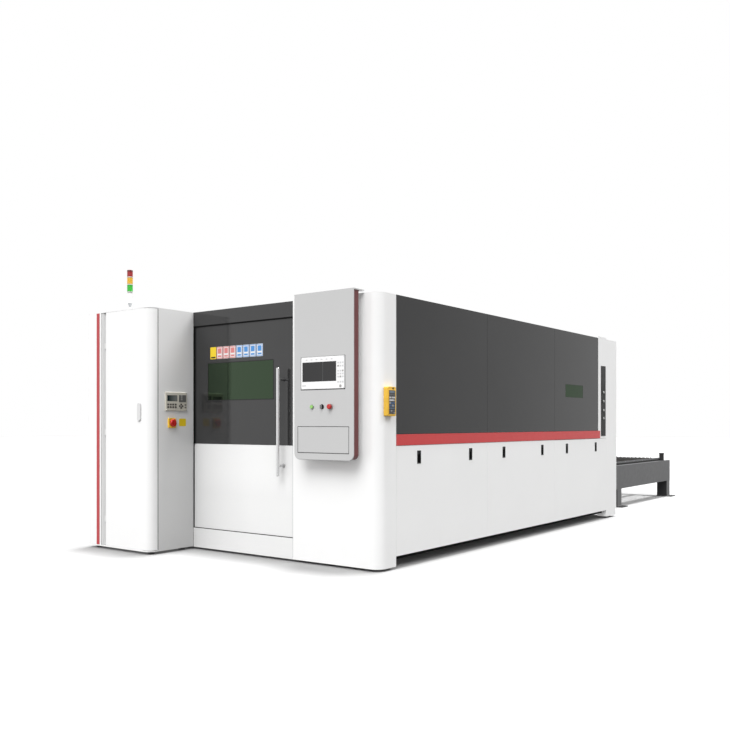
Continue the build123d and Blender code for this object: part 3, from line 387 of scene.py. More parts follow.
# ---------------------------------------------------------------------------
# Piece builder
# ---------------------------------------------------------------------------
class Piece:
    def __init__(self, name, body, mat, bevel=0.0, segs=2, slot=None, smooth=35.0):
        self.name, self.body, self.bevel, self.segs = name, body, bevel, segs
        self.slot, self.smooth = slot, smooth
        self.mats, self.idx = [mat], 0
        self.bm = bmesh.new()

    def use(self, mat):
        if mat not in self.mats:
            self.mats.append(mat)
        self.idx = self.mats.index(mat)
        return self

    def face(self, vs):
        f = self.bm.faces.new(vs)
        f.material_index = self.idx

    def at(self, axis, u, v, a):
        if axis == "x":
            p = P(a, u, v)
        elif axis == "y":
            p = P(u, a, v)
        else:
            p = P(u, v, a)
        return self.bm.verts.new(p)

    def prism(self, pts, axis, a0, a1, pts1=None):
        lo = [self.at(axis, u, v, a0) for u, v in pts]
        hi = [self.at(axis, u, v, a1) for u, v in (pts1 or pts)]
        self.face(lo[::-1])
        self.face(hi)
        for i in range(len(lo)):
            j = (i + 1) % len(lo)
            self.face([lo[i], lo[j], hi[j], hi[i]])
        return self

    def box(self, x0, x1, y0, y1, z0, z1):
        return self.prism([(x0, y0), (x1, y0), (x1, y1), (x0, y1)], "z", z0, z1)

    def plate(self, axis, u0, u1, v0, v1, a0, a1, r, n=5):
        pts = []
        for cu, cv, t0 in ((u1 - r, v0 + r, -90), (u1 - r, v1 - r, 0), (u0 + r, v1 - r, 90), (u0 + r, v0 + r, 180)):
            for k in range(n + 1):
                t = math.radians(t0 + 90.0 * k / n)
                pts.append((cu + r * math.cos(t), cv + r * math.sin(t)))
        return self.prism(pts, axis, a0, a1)

    def rod(self, axis, u, v, r, a0, a1, n=28, r1=None):
        ring = [(math.cos(2 * math.pi * k / n), math.sin(2 * math.pi * k / n)) for k in range(n)]
        r1 = r if r1 is None else r1
        return self.prism([(u + r * c, v + r * s) for c, s in ring], axis, a0, a1,
                          [(u + r1 * c, v + r1 * s) for c, s in ring])

    def lathe(self, axis, u, v, profile, n=32):
        rows = []
        for a, r in profile:
            rows.append([self.at(axis, u + r * math.cos(2 * math.pi * k / n),
                                 v + r * math.sin(2 * math.pi * k / n), a) for k in range(n)])
        self.face(rows[0][::-1])
        self.face(rows[-1])
        for p, q in zip(rows, rows[1:]):
            for k in range(n):
                j = (k + 1) % n
                self.face([p[k], p[j], q[j], q[k]])
        return self

    def ring(self, axis, u, v, ro, ri, a0, a1, n=32):
        rows = []
        for r, a in ((ro, a0), (ro, a1), (ri, a1), (ri, a0)):
            rows.append([self.at(axis, u + r * math.cos(2 * math.pi * k / n),
                                 v + r * math.sin(2 * math.pi * k / n), a) for k in range(n)])
        for i in range(4):
            p, q = rows[i], rows[(i + 1) % 4]
            for k in range(n):
                j = (k + 1) % n
                self.face([p[k], p[j], q[j], q[k]])
        return self

    def frame(self, axis, u0, u1, v0, v1, w, a0, a1):
        outer = [(u0, v0), (u1, v0), (u1, v1), (u0, v1)]
        inner = [(u0 + w, v0 + w), (u1 - w, v0 + w), (u1 - w, v1 - w), (u0 + w, v1 - w)]
        rows = [[self.at(axis, u, v, a) for u, v in pts]
                for pts, a in ((outer, a0), (outer, a1), (inner, a1), (inner, a0))]
        for i in range(4):
            p, q = rows[i], rows[(i + 1) % 4]
            for k in range(4):
                j = (k + 1) % 4
                self.face([p[k], p[j], q[j], q[k]])
        return self

    def hexhead(self, axis, u, v, af, a0, a1):
        r = af / math.sqrt(3)
        pts = [(u + r * math.cos(math.pi * k / 3), v + r * math.sin(math.pi * k / 3)) for k in range(6)]
        return self.prism(pts, axis, a0, a1)

    def done(self):
        bmesh.ops.recalc_face_normals(self.bm, faces=self.bm.faces)
        me = bpy.data.meshes.new(self.name)
        self.bm.to_mesh(me)
        self.bm.free()
        for m in self.mats:
            me.materials.append(m)
        me.polygons.foreach_set("use_smooth", [True] * len(me.polygons))
        me.set_sharp_from_angle(angle=math.radians(self.smooth))
        ob = bpy.data.objects.new(self.name, me)
        bpy.context.scene.collection.objects.link(ob)
        if self.bevel:
            b = ob.modifiers.new("edge", "BEVEL")
            b.width, b.segments = self.bevel / 1000.0, self.segs
            b.limit_method, b.angle_limit = "ANGLE", math.radians(40)
        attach(ob, self.body)
        return ob


# ---------------------------------------------------------------------------
# Door: seals, glazing gasket, plain coloured tiles, handle flanges
# ---------------------------------------------------------------------------
p = Piece("door_seal", "machine", SEAL, slot="black_plastic")
p.prism([(-2208, 1), (-2196, 1), (-2194, 3), (-2194, 7), (-2196, 8.6), (-2208, 8.6)], "z", 990, 2105)
p.prism([(0.6, 2116), (0.6, 2107), (2, 2105), (7, 2105), (8.6, 2107), (8.6, 2116)], "x", -2208, -932)
p.prism([(1.5, 184), (1.5, 188), (3, 190), (7, 190), (8.6, 188), (8.6, 184)], "x", -2205, -933)
p.done()

p = Piece("pillar_edge_gasket", "machine", GREY, slot="black_plastic")
p.prism([(-931.8, 10.5), (-931.8, 0.4), (-931.2, -0.4), (-929.4, -0.4), (-929.0, 0.0), (-929.8, 10.5)], "z", 16, 990)
p.done()

p = Piece("door_window_gasket", "front_door", RUBBER, bevel=0.6, slot="black_plastic")
p.frame("y", -2023, -1168, 1398, 1756, 7, 10.6, 12.55)
p.done()

p = Piece("door_tiles", "front_door", TILE_W, bevel=0.5, slot="light_grey_plastic")
pitch, width = 86.4, 79.0
for i in range(8):
    x0 = -1985 + i * pitch
    p.use(TILE_Y if i == 0 else TILE_W)
    p.plate("y", x0, x0 + width, 1790, 1903, 11.0, 12.0, 6)
    if i == 0:
        p.use(BLACK).plate("y", x0 + 10, x0 + width - 10, 1798, 1812, 10.5, 11.0, 3)
    else:
        # coloured border, plain panel above and plain bar below
        edge, field = (TILE_R, TILE_P) if i < 4 else (TILE_B, TILE_L)
        p.use(edge).frame("y", x0 + 3, x0 + width - 3, 1793, 1900, 5.5, 10.5, 11.0)
        p.use(field).plate("y", x0 + 16, x0 + width - 16, 1838, 1888, 10.5, 11.0, 6)
        p.use(field).plate("y", x0 + 16, x0 + width - 16, 1806, 1822, 10.5, 11.0, 3)
p.done()

# Flange rings dark above and mid grey below, standing in for what steel flanges would mirror there: painted reflection.
p = Piece("door_handle_flanges", "front_door", TUBE, bevel=0.8, slot="steel_tube")
for z, mat in ((812, FLANGE), (1569, DOOR_DARK)):
    p.use(mat).ring("y", -1049, z, 18.0, 16.1, 10.6, 12)
    p.use(STANDOFF).ring("y", -1049, z, 11.6, 10.1, -46, -43)
p.done()

p = Piece("door_edge_trim", "front_door", RUBBER, bevel=0.8, slot="black_plastic")
p.box(-940, -934, 8, 12, 991, 2112)
p.done()

# ---------------------------------------------------------------------------
# Left cabinet: controller face, stop plate, blank plate, stack light lips, hinge post cover, rim, seam gasket, foot
# nuts
# ---------------------------------------------------------------------------
FX = -2194.0
p = Piece("controller_lcd", "machine", LCD_TEAL, slot="display_dark")
p.plate("x", -331, -212, 1392, 1446, -2197.0, -2195.6, 2)
p.use(BLACK).frame("x", -332, -211, 1391, 1447, 3, -2197.0, -2194.6)
p.done()

p = Piece("controller_keys", "machine", KEY_DARK, bevel=0.7, slot="black_plastic")
for i in range(4):
    for k in range(2):
        y, z = -322 + i * 30, 1361 - k * 25
        p.plate("x", y - 9.5, y + 9.5, z - 8, z + 8, FX, FX + 2.2, 2, 3)
p.use(KEY_MID)
p.plate("x", -192, -105, 1385, 1451, FX, FX + 0.8, 3, 3)
for i in range(4):
    for k in range(4):
        y, z = -182 + i * 22, 1443 - k * 17
        p.use(KEY_GREY if i == 1 and k < 3 else KEY_MID)
        p.plate("x", y - 9, y + 9, z - 6.5, z + 6.5, FX + 0.6, FX + 2.4, 2, 3)
p.use(KEY_DARK)
for dy, dz in ((-17, 0), (17, 0), (0, 16), (0, -16)):
    y, z = -166 + dy, 1347 + dz
    w, h = (9, 7) if dz else (8, 8)
    p.plate("x", y - w, y + w, z - h, z + h, FX, FX + 2.2, 3, 3)
p.use(KEY_GREY).rod("x", -166, 1347, 7, FX, FX + 2.0, 20)
p.use(KEY_MID)
for k in range(2):
    p.plate("x", -124, -104, 1352 - k * 24, 1366 - k * 24, FX, FX + 2.0, 2, 3)
p.done()

p = Piece("controller_surround", "machine", BEIGE, bevel=0.8, slot="beige_plastic")
p.frame("x", -197, -100, 1380, 1456, 3, FX, FX + 1.2)
for y in (-342, -99):
    for z in (1309, 1468):
        p.use(STEEL).lathe("x", y, z, [(FX - 0.4, 4.2), (FX + 0.9, 4.2), (FX + 1.6, 2.8)], 16)
p.done()

p = Piece("stop_collar", "machine", YELLOW, bevel=0.5, slot="yellow_plastic")
p.frame("x", -314, -226, 1143, 1233, 5, -2194, -2192.6)
for y in (-307, -233):
    for z in (1150, 1226):
        p.use(STEEL).lathe("x", y, z, [(-2194.4, 3.4), (-2191.8, 3.4), (-2191.3, 2.2)], 14)
p.done()

p = Piece("blank_plate", "machine", TILE_Y, bevel=0.5, slot="yellow_plastic")
p.plate("x", -180, -96, 1158, 1230, -2208, -2206.6, 9)
p.use(TILE_W).plate("x", -178, -98, 1122, 1150, -2208, -2206.8, 4)
p.done()

p = Piece("stack_light_lips", "machine", LIP_R, bevel=0.5, slot="lens_red")
p.lathe("z", TX, TY, [(2661, 26.6), (2661, 27.5), (2671.5, 27.5), (2675, 25.6), (2676.8, 21.6)], 40)
p.use(LIP_A).ring("z", TX, TY, 27.5, 26.4, 2598, 2604.2, 40)
p.use(LIP_G).ring("z", TX, TY, 27.5, 26.4, 2526, 2532.2, 40)
p.done()

p = Piece("hinge_cover", "machine", COVER, bevel=1.0, slot="grey_aluminium")
p.prism([(-2931, -519.5), (-2904, -519.5), (-2887.5, -503.8), (-2887.5, -503), (-2931, -503)], "z", 16.5, 2244.5)
# sealing lip behind the hinge knuckles
p.use(WHITE).box(-2887.4, -2856.5, -501.5, -498.5, 20, 2240)
p.use(COVER)
for i in range(6):
    p.lathe("y", -2918, 130 + i * 397, [(-521.4, 3.2), (-520.6, 5.0), (-519.2, 5.0)], 16)
p.done()

p = Piece("cabinet_rim", "machine", WHITE, bevel=0.6, slot="white_paint")
p.box(-2852, -2300, -523.2, -519.5, 2242.6, 2246.2)
p.box(-2852, -2300, -523.2, -519.5, 13.8, 17.4)
p.done()

p = Piece("cabinet_seam_gasket", "machine", SEAL, bevel=0.5, slot="black_plastic")
p.box(-2211, -2209.2, -432.5, -423.5, 18, 2240)
p.done()

p = Piece("foot_nuts", "machine", FOOT, bevel=0.6, slot="zinc_steel")
for x, y in ((-3065, -440), (-3065, -85), (-2285, -440), (-2285, -85), (-840, 130), (-210, 130), (-60, 5068)):
    p.hexhead("z", x, y, 30, FLOOR + 9.2, FLOOR + 19)
for y in (500, 1600, 2700, 3800, 4900):
    for sgn in (-1, 1):
        p.hexhead("z", XC + sgn * 1197, y, 56, FLOOR + 40, FLOOR + 62)
p.done()

# ---------------------------------------------------------------------------
# Operator console
# ---------------------------------------------------------------------------
p = Piece("screen_gasket", "machine", RUBBER, bevel=0.4, slot="black_plastic")
p.frame("y", -708, -235, 1462, 1738, 6, -148.2, -146.0)
p.done()

p = Piece("screen_divider", "machine", KEY_DIM, slot="light_grey_plastic")
p.box(-468, -465.2, -150.9, -150.4, 1534, 1688)
p.use(BLACK).frame("y", -688, -325, 1530, 1692, 3.2, -151.2, -150.0)
p.done()

p = Piece("screen_keys", "machine", KEY_PALE, bevel=0.5, slot="light_grey_plastic")
for r, z in enumerate((1678, 1652, 1612, 1588, 1564, 1522)):
    for c in range(3):
        x = -304 + c * 24
        p.use(KEY_GREY if (r + 2 * c) % 5 == 1 else KEY_PALE)
        p.plate("y", x - 8, x + 8, z - 7, z + 7, -152.2, -151.0, 2.5, 3)
p.use(KEY_GREY).lathe("y", -280, 1489, [(-155.5, 9), (-155, 10.5), (-151, 11)], 28)
p.use(KEY_PALE)
for i in range(6):
    p.plate("y", -652 + i * 54, -632 + i * 54, 1708, 1716, -151.8, -151.0, 3, 3)
p.plate("y", -690, -648, 1493, 1503, -151.8, -151.0, 2, 3)
for x in (-696, -246):
    for z in (1475, 1728):
        p.use(STEEL).lathe("y", x, z, [(-151.8, 2.2), (-151.4, 3.4), (-150.8, 3.4)], 14)
p.done()

p = Piece("button_collars", "machine", KEY_GREY, bevel=0.6, slot="black_plastic")
p.use(STEEL).ring("y", -585, 1321, 20.5, 15.8, -151.5, -146)
p.use(BLACK).ring("y", -478, 1321, 21, 16.6, -149.0, -146)
p.use(KEY_GREY).ring("y", -385, 1321, 24, 14.5, -150.0, -146)
p.done()

p = Piece("flap_gasket", "machine", SEAL, slot="black_plastic")
p.frame("y", -745.5, -196.5, 936.4, 1159.5, 3.4, -146.7, -145.2)
p.done()

p = Piece("flap_keyboard", "keyboard_flap", BLACK, bevel=0.9, slot="black_plastic")
p.plate("y", -716, -226, 968, 1142, -138, -131, 8)
p.use(KEY_GREY)
for r in range(5):
    n = 14 if r < 4 else 9
    for c in range(n):
        w = 490.0 / 14
        if r < 4:
            x0, x1 = -712 + c * 34.4, -712 + c * 34.4 + 30
        else:
            x0 = -712 + (c if c < 4 else c + 5) * 34.4
            x1 = x0 + 30 + (5 * 34.4 if c == 3 else 0)
        p.box(x0 + 2, x1 - 1, -131, -126.5, 975 + r * 33, 975 + r * 33 + 27)
p.done()

p = Piece("console_bracket", "machine", WHITE, bevel=2.0, slot="white_paint")
p.frame("y", -722, -213, 938, 2222, 21.5, -4, 0)
for x in (-711.5, -223.5):
    for i in range(7):
        p.use(STEEL).hexhead("y", x, 980 + i * 200, 10, -8, -4)
p.done()

# ---------------------------------------------------------------------------
# Remote pendant: yellow shell, dark face, display and keys
# ---------------------------------------------------------------------------
p = Piece("pendant_shell", "machine", RUBBER_Y, bevel=5.0, segs=4, slot="yellow_rubber")
p.plate("x", 58, 174, 1242, 1482, 0, 42, 14, 6)
p.frame("x", 66, 167, 1253, 1458, 6, 41.5, 45.5)
pendant = p.done()
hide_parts("remote_pendant")

p = Piece("pendant_face", "machine", KEY_DARK, bevel=0.8, slot="black_plastic")
p.plate("x", 71, 162, 1258, 1453, 41.6, 43.0, 5)
rows = ((1440, 10, LCD_BLUE), (1416, 9, KEY_DIM), (1394, 8, KEY_PALE), (1372, 8, KEY_PALE), (1350, 9, KEY_BLUE),
        (1328, 9, KEY_BLUE), (1306, 8, LCD_BLUE), (1286, 7, KEY_DIM), (1269, 6, KEY_DIM))
for k, (z, h, mat) in enumerate(rows):
    if k == 0:
        p.use(mat).plate("x", 80, 153, z - h, z + h, 43.0, 43.8, 2)
        continue
    for c in range(4):
        y = 86.5 + c * 20
        p.use(KEY_GREY if (k * 3 + c) % 5 == 2 else mat)
        p.plate("x", y - 8, y + 8, z - h + 1, z + h - 1, 43.0, 45.4, 2, 3)
p.use(BLACK).lathe("x", 130, 1469, [(41, 8.5), (44.6, 8.5), (45.6, 7.0)], 20)
p.done()

# ---------------------------------------------------------------------------
# Right side: finger bars in the grips, glazing gasket, black strip under the panels, button collars
# ---------------------------------------------------------------------------
for body, ys in (("front", (580, 1465)), ("middle", (2136, 3029)), ("rear", (3686, 4558))):
    p = Piece("grip_bars_" + body, "side_panel_" + body, BLACK, bevel=1.2, slot="black_plastic")
    for gy in ys:
        p.plate("x", gy - 19.5, gy + 19.5, 918, 940, -14, -3, 4, 3)
        p.use(SEAL)
        p.plate("x", gy - 19.6, gy + 19.6, 849.4, 940.6, -18.9, -17.6, 3, 3)
        for z in (843.2, 946.8):
            p.lathe("x", gy, z, [(1.6, 2.8), (2.4, 2.8), (2.8, 1.8)], 14)
        p.use(BLACK)
    p.done()

p = Piece("side_window_gasket", "machine", RUBBER, bevel=0.3, slot="black_plastic")
p.frame("x", 3646.5, 4153.5, 1487.5, 1637.5, 2.0, -0.6, 0.5)
p.done()

# Black strip behind the lower edge of the right panels, darkening the gap under them: painted shade.
p = Piece("under_panel_shade_strip", "machine", SEAL, bevel=0.8, slot="black_plastic")
p.box(-58, -53, 246, 4900, 46, 96)
p.done()

p = Piece("exchange_collars", "machine", BLACK, bevel=0.5, slot="black_plastic")
for z in (1575, 1464, 1351, 1249):
    p.use(BLACK).ring("x", 4786, z, 19, 14.6, 6, 9.5)
p.done()

# ---------------------------------------------------------------------------
# Roof and rear wall: cover strips and fasteners
# ---------------------------------------------------------------------------
p = Piece("roof_strips", "machine", GREY, bevel=0.8, slot="white_paint")
for y in (1791, 3352):
    p.use(GREY).box(-3090, -40, y - 22, y + 22, 2219, 2221.5)
    for i in range(12):
        x = -3060 + i * 272
        for dy in (-13, 13):
            p.use(STEEL).lathe("z", x, y + dy, [(2221, 5), (2223.4, 5), (2224.6, 3.2)], 12)
p.use(STEEL)
for i in range(16):
    y = 330 + i * 312
    for x in (-3080, -54):
        p.lathe("z", x, y, [(2218.8, 5.5), (2221.4, 5.5), (2222.6, 3.4)], 12)
p.use(GREY).ring("z", XC, 4600, 128, 102.4, 2219, 2223, 48)
for k in range(8):
    t = math.radians(22.5 + 45 * k)
    p.use(STEEL).hexhead("z", XC + 115 * math.cos(t), 4600 + 115 * math.sin(t), 10, 2223, 2228)
p.use(GREY).ring("z", XC, 4600, 104.5, 102.2, 2240, 2244, 48)
p.done()

# pressed stiffening beads and lifting eyes on the roof
p = Piece("roof_beads", "machine", ROOF_SHADED, bevel=2.5, slot="white_paint")
for y0, y1 in ((420, 1700), (1880, 3260), (3440, 4380)):
    for x in (-2760, -2160, -970, -370):
        p.plate("z", x - 32, x + 32, y0, y1, 2218.6, 2225, 30, 6)
p.done()

p = Piece("lifting_eyes", "machine", FOOT, bevel=1.0, slot="zinc_steel")
for x in (-2960, -170):
    for y in (380, 5090):
        p.use(FOOT).plate("z", x - 45, x + 45, y - 45, y + 45, 2219, 2229, 8, 4)
        # the eye lies folded flat
        p.use(STEEL).ring("z", x, y, 28, 17, 2232, 2244, 36)
        p.lathe("x", y - 25, 2238, [(x - 22, 7), (x + 22, 7)], 18)
        p.lathe("z", x, y, [(2228.6, 12), (2231, 12), (2233, 9)], 24)
        for dx in (-33, 33):
            for dy in (-33, 33):
                p.hexhead("z", x + dx, y + dy, 13, 2229, 2236)
p.done()

p = Piece("rear_strips", "machine", WHITE, bevel=0.8, slot="white_paint")
for x in (-2087, -1043):
    p.box(x - 22, x + 22, 5260, 5262.5, 900, 2240)
    for i in range(9):
        z = 930 + i * 160
        for dx in (-13, 13):
            p.use(STEEL).lathe("y", x + dx, z, [(5262, 5), (5264.4, 5), (5265.6, 3.2)], 12)
    p.use(WHITE)
p.use(STEEL)
for x in (-3110, -20):
    for i in range(14):
        p.lathe("y", x, 150 + i * 158, [(5259.6, 5), (5262.2, 5), (5263.4, 3.2)], 12)
p.use(RUBBER).frame("y", XC - 1128, XC + 1128, 377, 898, 17.5, 5259.8, 5266)
p.done()

# roller shutter housing over the pallet opening, gland plate, small terminal box
p = Piece("rear_shutter_housing", "machine", WHITE, bevel=5.0, segs=3, slot="white_paint")
p.prism([(5260, 905), (5348, 905), (5356, 915), (5356, 1020), (5320, 1060), (5260, 1060)], "x", XC - 1136, XC + 1136)
p.use(GREY)
for s in (-1, 1):
    x0, x1 = sorted((XC + s * 1136, XC + s * 1146))
    p.prism([(5260, 899), (5350, 899), (5362, 911), (5362, 1024), (5324, 1066), (5260, 1066)], "x", x0, x1)
    x0, x1 = sorted((XC + s * 1131, XC + s * 1160))
    p.box(x0, x1, 5260, 5272, 380, 898)
p.use(STEEL)
for i in range(14):
    p.lathe("y", XC - 1090 + i * 167.7, 1000, [(5355.6, 5), (5358, 5), (5359.2, 3.2)], 12)
p.done()

p = Piece("rear_fittings", "machine", GREY, bevel=2.0, slot="grey_paint")
p.plate("y", -3010, -2800, 190, 330, 5259.8, 5264, 6)
for i in range(4):
    for k in range(2):
        p.use(BLACK).lathe("y", -2982 + i * 51, 225 + k * 66, [(5264, 18), (5272, 18), (5274, 15), (5284, 15), (5288, 10)], 20)
p.use(GREY).box(-372, -112, 5260, 5352, 1300, 1640)
p.use(PALE).plate("y", -366, -118, 1306, 1634, 5352, 5357, 8)
for z in (1380, 1560):
    p.use(STEEL).lathe("y", -140, z, [(5356, 9), (5359.4, 9), (5360.4, 7)], 20)
for i in range(3):
    p.use(BLACK).lathe("z", -318 + i * 76, 5306, [(1274, 11), (1278, 15), (1290, 15), (1292, 18), (1300, 18)], 20)
for i in range(9):
    z = 1260 + i * 46
    p.use(WHITE).prism([(5260, z), (5270, z + 3), (5272, z + 8), (5260, z + 26)], "x", -3040, -2790)
    p.use(SEAL).box(-3034, -2796, 5260, 5264, z - 6, z + 2)
p.done()

# ---------------------------------------------------------------------------
# Exchange table: stop pads, gearmotor, drive shaft, welds
# ---------------------------------------------------------------------------
p = Piece("table_pads", "machine", RUBBER, bevel=2.0, slot="black_plastic")
for s in (-1, 1):
    x0, x1 = sorted((XC + s * 1091, XC + s * 1160))
    p.box(x0, x1, 8474, 8530, 684, 698)
    # black strip standing in for the shaded gap under the guide bar (painted shade), and the guide bar along the pallet
    # rail
    x0, x1 = sorted((XC + s * 1100, XC + s * 1101.5))
    p.box(x0, x1, 5280, 8640, 576, 601)
    p.use(TABLE)
    x0, x1 = sorted((XC + s * 1100.4, XC + s * 1107))
    p.box(x0, x1, 5280, 8466, 602, 626)
    for i in range(9):
        p.use(STEEL).lathe("x", 5400 + i * 370, 614, [(XC + s * 1106.6, 6), (XC + s * 1109, 6), (XC + s * 1110, 4)], 12)
    p.use(RUBBER)
p.done()

p = Piece("table_leg_plugs", "machine", RUBBER, bevel=0.6, slot="black_plastic")
for s in (-1, 1):
    for y0 in (6384, 8647):
        for z in (20, 200):
            p.lathe("y", XC + s * 1085, z, [(y0 - 1.6, 7), (y0 - 0.8, 9), (y0 + 0.4, 9)], 18)
p.done()

p = Piece("table_drive", "machine", BLUE_CASE, bevel=3.0, slot="grey_paint")
p.rod("x", 8723, 392, 52, XC - 760, XC - 480, 36)
for i in range(9):
    p.ring("x", 8723, 392, 57, 51, XC - 745 + i * 26, XC - 737 + i * 26, 36)
p.box(XC - 480, XC - 380, 8668, 8768, 333, 450)
p.box(XC - 700, XC - 600, 8690, 8756, 440, 452)
p.use(STEEL).rod("x", 8723, 392, 16, XC - 1150, XC - 760, 24)
p.rod("x", 8723, 392, 16, XC - 380, XC + 1150, 24)
p.done()

p = Piece("table_welds", "machine", TABLE, slot="table_grey", smooth=60.0)
for s in (-1, 1):
    for y0, y1 in ((5300, 5450), (6384, 6553), (8647, 8800)):
        xo = XC + s * 1165
        b = FLOOR + 12
        p.prism([(xo, b), (xo + s * 6, b), (xo + s * 4.2, b + 4.2), (xo, b + 6)], "y", y0, y1)
        for y, d in ((y0, -1), (y1, 1)):
            xs = sorted((XC + s * 1005, XC + s * 1165))
            p.prism([(y, b), (y + d * 6, b), (y + d * 4.2, b + 4.2), (y, b + 6)], "x", xs[0], xs[1])
            p.prism([(y, 238), (y + d * 6, 238), (y + d * 4.2, 233.8), (y, 232)], "x", xs[0], xs[1])
p.done()

# ---------------------------------------------------------------------------
# Inside: gantry drives, bearing blocks, head fittings, control gear
# ---------------------------------------------------------------------------
p = Piece("gantry_drives", "gantry", BLUE_CASE, bevel=2.5, slot="gantry_paint")
for s in (-1, 1):
    x = XC + s * 1235
    p.use(BLUE_CASE).plate("z", x - 48, x + 48, 1162, 1258, 1332, 1500, 10, 4)
    p.use(BLACK).plate("z", x - 44, x + 44, 1166, 1254, 1500, 1528, 10, 4)
    p.use(GREY).plate("z", x - 58, x + 58, 1150, 1270, 1320, 1332, 6, 4)
p.use(GREY)
for i in range(5):
    p.box(XC - 1080 + i * 480, XC - 1060 + i * 480, 1060, 1070, 1120, 1240)
p.done()

p = Piece("head_fittings", "cutting_head", BLACK, bevel=2.0, slot="black_plastic")
p.use(BLACK).lathe("z", XC, 890, [(1330, 38), (1332, 40), (1372, 40), (1380, 24), (1440, 20), (1444, 16)], 36)
p.use(STEEL).ring("z", XC, 890, 48, 45.1, 1094, 1108, 40)
p.ring("z", XC, 890, 48, 45.1, 1240, 1250, 40)
p.use(BLUE_CASE).plate("z", XC - 34, XC + 34, 946, 982, 1470, 1560, 6, 4)
p.done()

p = Piece("control_gear", "machine", GALV, bevel=1.2, slot="galvanised_sheet")
p.box(-3085, -2255, -50, -47, 800, 2210)
for x in (-3060, -2280):
    for z in (840, 2170):
        p.use(STEEL).rod("y", x, z, 8, -47, -5, 16)
p.use(PALE)
for z in (880, 1130, 1440, 1860):
    p.box(-3070, -2270, -108, -50, z, z + 56)
p.use(KEY_GREY)
for z in (880, 1130, 1440, 1860):
    for i in range(52):
        p.box(-3062 + i * 15.2, -3055 + i * 15.2, -109, -107.6, z + 6, z + 50)
for i in range(16):
    p.use(KEY_PALE).box(-3055 + i * 46, -3013 + i * 46, -122, -50, 1985, 2070)
    p.use(BLACK).box(-3042 + i * 46, -3026 + i * 46, -130, -122, 2018, 2040)
for i in range(5):
    x = -3055 + i * 155
    p.use(GREY).box(x, x + 128, -200, -50, 1530, 1820)
    p.use(BLACK).box(x + 14, x + 114, -203, -200, 1740, 1806)
    p.use(KEY_PALE).box(x + 14, x + 114, -203, -200, 1552, 1600)
p.use(KEY_GREY).box(-3055, -2720, -160, -50, 1225, 1400)
for i in range(8):
    p.use(KEY_PALE if i % 2 else PALE).box(-2700 + i * 50, -2653 + i * 50, -150, -50, 1225, 1400)
    p.use(KEY_DARK).box(-2690 + i * 50, -2663 + i * 50, -152, -150, 1250, 1370)
for i in range(60):
    p.use(TILE_B if i % 15 == 14 else KEY_PALE).box(-3050 + i * 12.4, -3039 + i * 12.4, -96, -50, 990, 1050)
p.done()

# Soft edges on the plainest solid nodes.
for name, width in (("table_frame", 1.2), ("bed_frame", 1.2), ("gantry_beam", 1.5), ("laser_source", 1.5),
                    ("pallet_a", 1.0), ("pallet_b", 1.0), ("button_strip", 1.2), ("red_trim", 0.5),
                    ("y_carriage", 1.5), ("cutting_head", 1.0), ("key_switch", 0.7), ("cabinet_hinge_post", 0.8)):
    ob = NODES[name]
    weld = ob.modifiers.new("weld", "WELD")
    weld.merge_threshold = 0.00002
    bev = ob.modifiers.new("edge", "BEVEL")
    bev.width, bev.segments = width / 1000.0, 1
    bev.limit_method, bev.angle_limit = "ANGLE", math.radians(50)

# ---------------------------------------------------------------------------
# Floor, light, camera
# ---------------------------------------------------------------------------
scene = bpy.context.scene
scene.view_settings.view_transform = "Standard"
scene.view_settings.look = "None"

me = bpy.data.meshes.new("studio_floor")
g = bmesh.new()
bmesh.ops.create_grid(g, x_segments=1, y_segments=1, size=60.0)
g.to_mesh(me)
g.free()
floor = bpy.data.objects.new("studio_floor", me)
scene.collection.objects.link(floor)
m, nt, bsdf, tc = shader("studio_floor_white")
n = noise(nt, tc, 0.6, 3.0)
nt.links.new(mix(nt, remap(nt, n, 0.0, 1.0), (0.405, 0.405, 0.405), (0.42, 0.42, 0.42)), bsdf.inputs["Base Color"])
bsdf.inputs["Roughness"].default_value = 0.9
bsdf.inputs["Specular IOR Level"].default_value = 0.1
me.materials.append(m)
floor.visible_diffuse = False
floor.visible_glossy = False

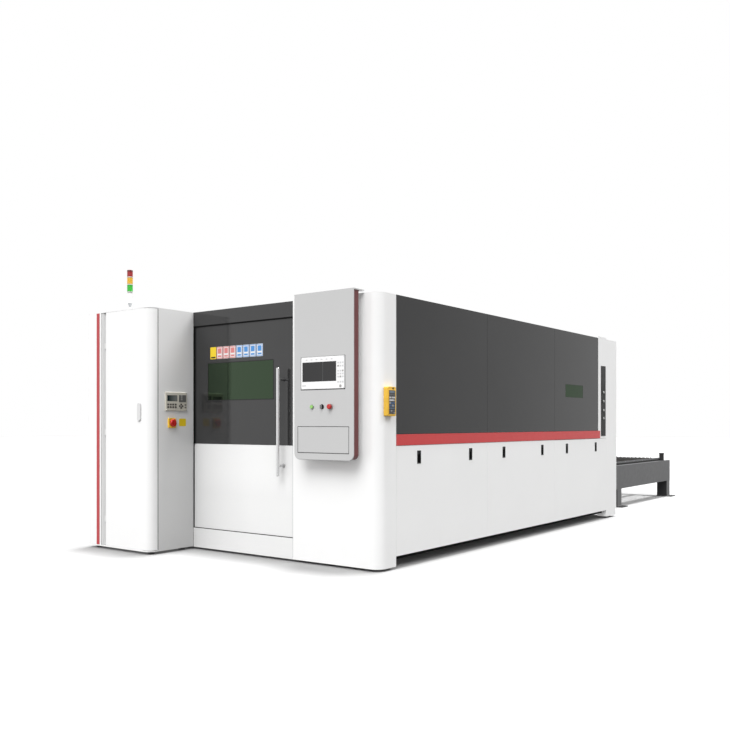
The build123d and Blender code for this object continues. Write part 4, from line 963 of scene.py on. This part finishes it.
# White backdrop behind the machine, softer pale surround on the other sides.
world = bpy.data.worlds.new("studio")
scene.world = world
world.use_nodes = True
wt = world.node_tree
bg = wt.nodes["Background"]
wtc = wt.nodes.new("ShaderNodeTexCoord")
dot = wt.nodes.new("ShaderNodeVectorMath")
dot.operation = "DOT_PRODUCT"
dot.inputs[1].default_value = (-0.60, 0.80, 0.0)
wt.links.new(wtc.outputs["Generated"], dot.inputs[0])
wsep = wt.nodes.new("ShaderNodeSeparateXYZ")
wt.links.new(wtc.outputs["Generated"], wsep.inputs[0])
back = remap(wt, dot.outputs["Value"], 0.64, 1.0, 0.45, 0.78)
down = remap(wt, wsep.outputs["Z"], 0.30, 1.0, -0.30, -0.02)
up = remap(wt, wsep.outputs["Z"], 1.0, 0.30, 0.47, 0.85)
# large soft panel to the front left
panel = wt.nodes.new("ShaderNodeVectorMath")
panel.operation = "DOT_PRODUCT"
panel.inputs[1].default_value = (-0.58, -0.81, -0.06)
wt.links.new(wtc.outputs["Generated"], panel.inputs[0])
lobe = remap(wt, panel.outputs["Value"], 0.0, 0.40, 0.72, 0.96)
add = wt.nodes.new("ShaderNodeMath")
add.operation = "ADD"
wt.links.new(times(wt, times(wt, back, down), up), add.inputs[0])
wt.links.new(lobe, add.inputs[1])
wt.links.new(add.outputs[0], bg.inputs["Color"])
bg.inputs["Strength"].default_value = 1.0


def sunlight(name, energy, spread, towards):
    data = bpy.data.lights.new(name, "SUN")
    data.energy = energy
    data.angle = math.radians(spread)
    ob = bpy.data.objects.new(name, data)
    scene.collection.objects.link(ob)
    ob.rotation_euler = (-Vector(towards)).to_track_quat("-Z", "Y").to_euler()
    return ob


sunlight("key", 2.62, 44.0, (0.17, -0.64, 0.75))
# wide soft front light, which the glossy panels already mirror in the surround
sunlight("front", 0.55, 100.0, (0.15, -0.95, 0.24)).visible_glossy = False
sunlight("fill", 1.46, 30.0, (0.60, 0.40, 0.69))
sunlight("top", 5.20, 11.0, (0.00, 0.11, 0.99))

cam = bpy.data.cameras.new("camera")
cam.sensor_width = 36.0
cam.lens = 41.484
cam.shift_x = 0.0
cam.shift_y = 0.0803
cam.clip_start, cam.clip_end = 0.1, 200.0
camera = bpy.data.objects.new("camera", cam)
scene.collection.objects.link(camera)
camera.location = (5.512, -9.630, 1.204)
camera.rotation_euler = (math.radians(90.0), 0.0, math.radians(36.93))
scene.camera = camera

bpy.context.view_layer.update()
